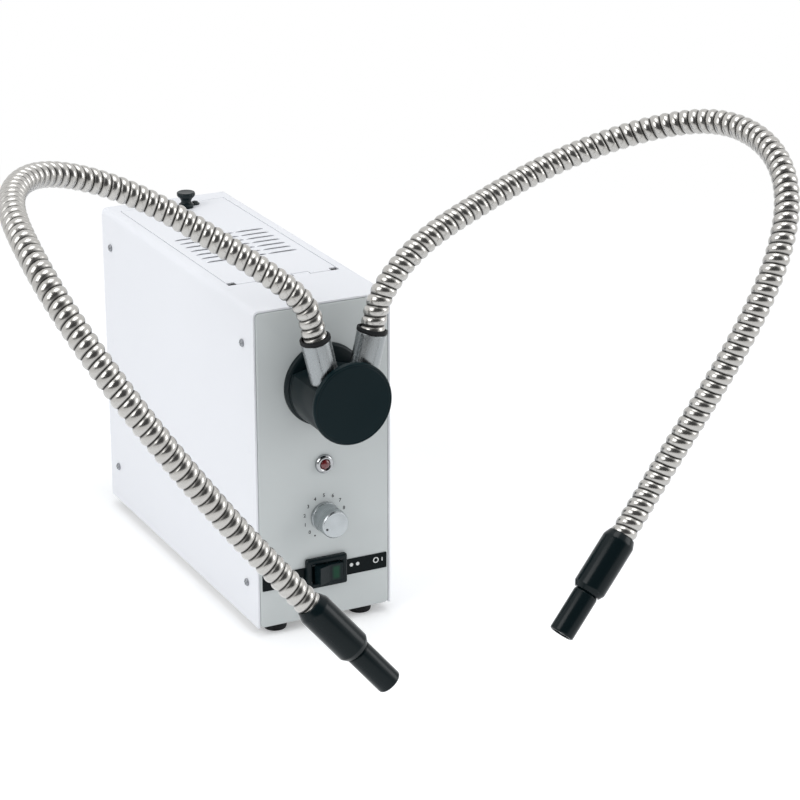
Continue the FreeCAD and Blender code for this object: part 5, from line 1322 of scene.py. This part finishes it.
COPIES = (
    ("rear_panel_tray", "rear_panel", "panel paint", "case_grey"),
    ("base_tray", "chassis_base", "zinc", "zinc_sheet"),
    ("nut_set", "panel_nuts", "steel", "steel"),
    ("guide_plug_body", "guide_nose", "steel", "steel"),
    ("fibre_common_end", "fibre_bundle", "fibre", "fibre"),
    ("fibre_branches", "fibre_tails", "fibre", "fibre"),
    ("dial_shaft", "control_shaft", "brass", "brass"),
    ("dimmer_control", "potentiometer", "steel", "steel"),
    ("lamp_frame", "lamp_bracket", "zinc", "zinc_sheet"),
    ("heat_glass", "heat_filter", "glass", "glass"),
    ("lamp_bowl", "lamp_reflector", "mirror bowl", "glass"),
    ("lamp_bulb", "lamp_capsule", "glass", "glass"),
    ("lamp_socket", "lamp_holder", "ceramic", "ceramic"),
    ("fan_housing", "fan_frame", "fan plastic", "black_matte"),
    ("fan_blades", "fan_rotor", "fan plastic", "black_matte"),
    ("mains_inlet_body", "mains_inlet", "inlet", "black_matte"),
    ("fuse_barrel", "fuse_holder", "inlet", "black_matte"),
    ("fuse_knob", "fuse_cap", "inlet", "black_matte"),
    ("fuse_glass", "fuse_link", "glass", "glass"),
    ("transformer_iron", "transformer_core", "laminations", "iron"),
    ("transformer_winding", "transformer_coil", "winding tape", "copper_tape"),
    ("transformer_saddle", "transformer_strap", "zinc", "zinc_sheet"),
    ("dimmer_circuit", "dimmer_board", "board", "board_green"),
)


def build_inside():
    for name, node, finish, slot in COPIES:
        dressed(name, node, finish_of(finish))
    blades = []
    for x, z in ((-7.0, -2.0), (0.0, 2.0), (7.0, -2.0)):
        blade = plate(1.02, 2.02, 0.4, [(None, 0.0), (0.0, 0.0), (0.0, 8.6), (0.4, 9.05), (None, 9.05)], per_corner=4)
        blades.append(to_rear(blade, -14.0 + x, 102.5, 38.0 + z))
    mesh = new_mesh("inlet_contacts", together(blades))
    add_piece("inlet_contacts", mesh, finish_of("brass"), "case", ())


# Stage

def area_light(name, place, target, width, height, power, tone=(1.0, 1.0, 1.0)):
    """A soft rectangular lamp aimed at a point."""
    light = bpy.data.lights.new(name, "AREA")
    light.shape = "RECTANGLE"
    light.size = width
    light.size_y = height
    light.energy = power
    light.color = tone
    holder = bpy.data.objects.new(name, light)
    bpy.context.scene.collection.objects.link(holder)
    place, target = np.array(place, float), np.array(target, float)
    back = place - target
    back /= np.linalg.norm(back)
    right = np.cross((0.0, 0.0, 1.0), back)
    right /= np.linalg.norm(right)
    up = np.cross(back, right)
    holder.matrix_world = Matrix((
        (right[0], up[0], back[0], place[0]), (right[1], up[1], back[1], place[1]),
        (right[2], up[2], back[2], place[2]), (0, 0, 0, 1),
    ))
    return holder


def build_stage():
    scene = bpy.context.scene
    scene.view_settings.view_transform = "Standard"
    camera = bpy.data.cameras.new("camera")
    camera.lens = 120.96
    camera.sensor_width = 36.0
    camera.clip_end = 20.0
    holder = bpy.data.objects.new("camera", camera)
    scene.collection.objects.link(holder)
    right, up, back = (0.8914, -0.4532, 0.0004), (0.1568, 0.3094, 0.9379), (-0.4252, -0.8360, 0.3468)
    place = (-0.60077, -1.39087, 0.65945)
    holder.matrix_world = Matrix((
        (right[0], up[0], back[0], place[0]), (right[1], up[1], back[1], place[1]),
        (right[2], up[2], back[2], place[2]), (0, 0, 0, 1),
    ))
    scene.camera = holder

    world = bpy.data.worlds.new("studio")
    scene.world = world
    world.use_nodes = True
    tree = world.node_tree
    tree.nodes.clear()
    path = tree.nodes.new("ShaderNodeLightPath")
    seen = tree.nodes.new("ShaderNodeMath")
    seen.operation = "MAXIMUM"
    tree.links.new(path.outputs["Is Camera Ray"], seen.inputs[0])
    through = tree.nodes.new("ShaderNodeMath")
    through.operation = "MAXIMUM"
    tree.links.new(path.outputs["Is Glossy Ray"], through.inputs[0])
    tree.links.new(path.outputs["Is Transmission Ray"], through.inputs[1])
    tree.links.new(through.outputs[0], seen.inputs[1])
    fill = tree.nodes.new("ShaderNodeBackground")
    fill.inputs["Color"].default_value = (0.93, 0.96, 1.0, 1.0)
    fill.inputs["Strength"].default_value = 0.55
    white = tree.nodes.new("ShaderNodeBackground")
    white.inputs["Color"].default_value = (1.0, 1.0, 1.0, 1.0)
    # Painted dark reflection: glossy rays see the white world dimmed by up to 93 per cent in a cone round the direction
    # towards the camera, so metal shows a dark reflection that camera and diffuse rays never see.
    heading = tree.nodes.new("ShaderNodeTexCoord")
    toward = tree.nodes.new("ShaderNodeVectorMath")
    toward.operation = "DOT_PRODUCT"
    toward.inputs[1].default_value = back
    tree.links.new(heading.outputs["Generated"], toward.inputs[0])
    dark_reflection_cone = tree.nodes.new("ShaderNodeMapRange")
    dark_reflection_cone.interpolation_type = "SMOOTHSTEP"
    dark_reflection_cone.inputs["From Min"].default_value = 0.30
    dark_reflection_cone.inputs["From Max"].default_value = 0.74
    dark_reflection_cone.inputs["To Min"].default_value = 0.0
    dark_reflection_cone.inputs["To Max"].default_value = 0.93
    tree.links.new(toward.outputs["Value"], dark_reflection_cone.inputs["Value"])
    painted_dark_reflection = tree.nodes.new("ShaderNodeMath")
    painted_dark_reflection.operation = "MULTIPLY"
    tree.links.new(dark_reflection_cone.outputs["Result"], painted_dark_reflection.inputs[0])
    tree.links.new(path.outputs["Is Glossy Ray"], painted_dark_reflection.inputs[1])
    rest = tree.nodes.new("ShaderNodeMath")
    rest.operation = "SUBTRACT"
    rest.inputs[0].default_value = 1.0
    tree.links.new(painted_dark_reflection.outputs[0], rest.inputs[1])
    tree.links.new(rest.outputs[0], white.inputs["Strength"])
    mix = tree.nodes.new("ShaderNodeMixShader")
    output = tree.nodes.new("ShaderNodeOutputWorld")
    tree.links.new(seen.outputs[0], mix.inputs["Fac"])
    tree.links.new(fill.outputs[0], mix.inputs[1])
    tree.links.new(white.outputs[0], mix.inputs[2])
    tree.links.new(mix.outputs[0], output.inputs["Surface"])

    floor_mesh = new_mesh("floor", grid(np.array([
        [(-6000.0, -6000.0, 0.0), (6000.0, -6000.0, 0.0)], [(-6000.0, 6000.0, 0.0), (6000.0, 6000.0, 0.0)],
    ]), close_columns=False))
    finish = Finish("floor white")
    finish.put(Roughness=0.9, Specular_IOR_Level=0.0)
    grain = finish.effect(speckle_group(), Grain=60.0, Patch=3.0)
    base = tuple(colours().floor)
    finish.feed("Base Color", finish.mix(grain.outputs["Mask"], shade(base, 0.995), shade(base, 1.005)))
    length = finish.tree.nodes.new("ShaderNodeVectorMath")
    length.operation = "LENGTH"
    finish.tree.links.new(finish.place, length.inputs[0])
    far = finish.tree.nodes.new("ShaderNodeMapRange")
    far.interpolation_type = "SMOOTHSTEP"
    far.inputs["From Min"].default_value = 0.30
    far.inputs["From Max"].default_value = 0.95
    finish.tree.links.new(length.outputs["Value"], far.inputs["Value"])
    path = finish.tree.nodes.new("ShaderNodeLightPath")
    seen = finish.tree.nodes.new("ShaderNodeMath")
    seen.operation = "MAXIMUM"
    finish.tree.links.new(path.outputs["Is Camera Ray"], seen.inputs[0])
    through = finish.tree.nodes.new("ShaderNodeMath")
    through.operation = "MAXIMUM"
    finish.tree.links.new(path.outputs["Is Glossy Ray"], through.inputs[0])
    finish.tree.links.new(path.outputs["Is Transmission Ray"], through.inputs[1])
    finish.tree.links.new(through.outputs[0], seen.inputs[1])
    lift = finish.tree.nodes.new("ShaderNodeMath")
    lift.operation = "MULTIPLY"
    lift.inputs[1].default_value = 0.22
    finish.tree.links.new(seen.outputs[0], lift.inputs[0])
    finish.put(Emission_Color=(1.0, 1.0, 1.0, 1.0))
    finish.feed("Emission Strength", lift.outputs[0])
    share = finish.tree.nodes.new("ShaderNodeMath")
    share.operation = "MULTIPLY"
    finish.tree.links.new(far.outputs["Result"], share.inputs[0])
    finish.tree.links.new(seen.outputs[0], share.inputs[1])
    glow = finish.tree.nodes.new("ShaderNodeEmission")
    glow.inputs["Color"].default_value = (1.0, 1.0, 1.0, 1.0)
    mix = finish.tree.nodes.new("ShaderNodeMixShader")
    finish.tree.links.new(share.outputs[0], mix.inputs["Fac"])
    finish.tree.links.new(finish.shader.outputs["BSDF"], mix.inputs[1])
    finish.tree.links.new(glow.outputs["Emission"], mix.inputs[2])
    output = next(node for node in finish.tree.nodes if node.type == "OUTPUT_MATERIAL")
    finish.tree.links.new(mix.outputs[0], output.inputs["Surface"])
    floor = add_piece("floor", floor_mesh, finish.material, None)

    middle = (0.0, -0.1, 0.15)
    area_light("key", (-1.75, -0.5, 1.35), middle, 1.2, 1.4, 19.0)
    area_light("top", (0.1, -0.2, 2.0), middle, 1.2, 1.0, 11.0)
    area_light("side", (1.8, -1.1, 0.7), middle, 0.9, 1.2, 10.0)


# Operators

class LightSourceStep(bpy.types.Operator):
    """Shared run of a building step"""

    bl_options = {"REGISTER", "UNDO"}

    def execute(self, context):
        self.build()
        return {"FINISHED"}


class LIGHTSOURCE_OT_stage(LightSourceStep):
    """Camera, studio light and pale floor"""

    bl_idname = "lightsource.stage"
    bl_label = "Stage"

    def build(self):
        build_stage()


class LIGHTSOURCE_OT_case(LightSourceStep):
    """Front panel, cover and what is pressed into them"""

    bl_idname = "lightsource.case"
    bl_label = "Case"

    def build(self):
        build_case()


class LIGHTSOURCE_OT_screws(LightSourceStep):
    """Case screws, fan screws and rubber feet"""

    bl_idname = "lightsource.screws"
    bl_label = "Screws and feet"

    def build(self):
        build_screws_and_feet()


class LIGHTSOURCE_OT_hatch(LightSourceStep):
    """Louvred lamp hatch with its hinge wire, thumb knob and tether"""

    bl_idname = "lightsource.hatch"
    bl_label = "Lamp hatch"

    def build(self):
        build_hatch()


class LIGHTSOURCE_OT_controls(LightSourceStep):
    """Indicator, dial knob, black band and rocker switch"""

    bl_idname = "lightsource.controls"
    bl_label = "Front controls"

    def build(self):
        build_controls()


class LIGHTSOURCE_OT_marks(LightSourceStep):
    """Plain dial numbers and small marks"""

    bl_idname = "lightsource.marks"
    bl_label = "Dial numbers"

    def build(self):
        build_dial_marks()


class LIGHTSOURCE_OT_splitter(LightSourceStep):
    """Socket flange, splitter block, ferrules and rings"""

    bl_idname = "lightsource.splitter"
    bl_label = "Light guide"

    def build(self):
        build_splitter()


class LIGHTSOURCE_OT_arms(LightSourceStep):
    """Both ribbed arms with their nozzles"""

    bl_idname = "lightsource.arms"
    bl_label = "Arms and nozzles"

    def build(self):
        build_arm("left", LEFT_ROUTE)
        build_arm("right", RIGHT_ROUTE)


class LIGHTSOURCE_OT_inside(LightSourceStep):
    """Rear panel, lamp, fan, transformer and circuit board"""

    bl_idname = "lightsource.inside"
    bl_label = "Rear and inside"

    def build(self):
        build_inside()


class LIGHTSOURCE_PT_steps(bpy.types.Panel):
    """Sidebar panel that lists the sizes, colours and steps"""

    bl_idname = "LIGHTSOURCE_PT_steps"
    bl_label = "Light source"
    bl_space_type = "VIEW_3D"
    bl_region_type = "UI"
    bl_category = "Light source"

    def draw(self, context):
        layout = self.layout
        for group in (context.scene.light_source_sizes, context.scene.light_source_colours):
            box = layout.box()
            for key in type(group).__annotations__:
                box.prop(group, key)
        for step in STEPS:
            layout.operator(step.bl_idname)


STEPS = (
    LIGHTSOURCE_OT_stage, LIGHTSOURCE_OT_case, LIGHTSOURCE_OT_screws, LIGHTSOURCE_OT_hatch,
    LIGHTSOURCE_OT_controls, LIGHTSOURCE_OT_marks, LIGHTSOURCE_OT_splitter, LIGHTSOURCE_OT_arms,
    LIGHTSOURCE_OT_inside,
)
CLASSES = (LightSourceSizes, LightSourceColours) + STEPS + (LIGHTSOURCE_PT_steps,)


def register():
    for item in CLASSES:
        bpy.utils.register_class(item)
    bpy.types.Scene.light_source_sizes = PointerProperty(type=LightSourceSizes)
    bpy.types.Scene.light_source_colours = PointerProperty(type=LightSourceColours)


def unregister():
    del bpy.types.Scene.light_source_colours
    del bpy.types.Scene.light_source_sizes
    for item in reversed(CLASSES):
        bpy.utils.unregister_class(item)


def main():
    register()
    for step in STEPS:
        family, action = step.bl_idname.split(".")
        getattr(getattr(bpy.ops, family), action)()


if __name__ == "__main__":
    main()
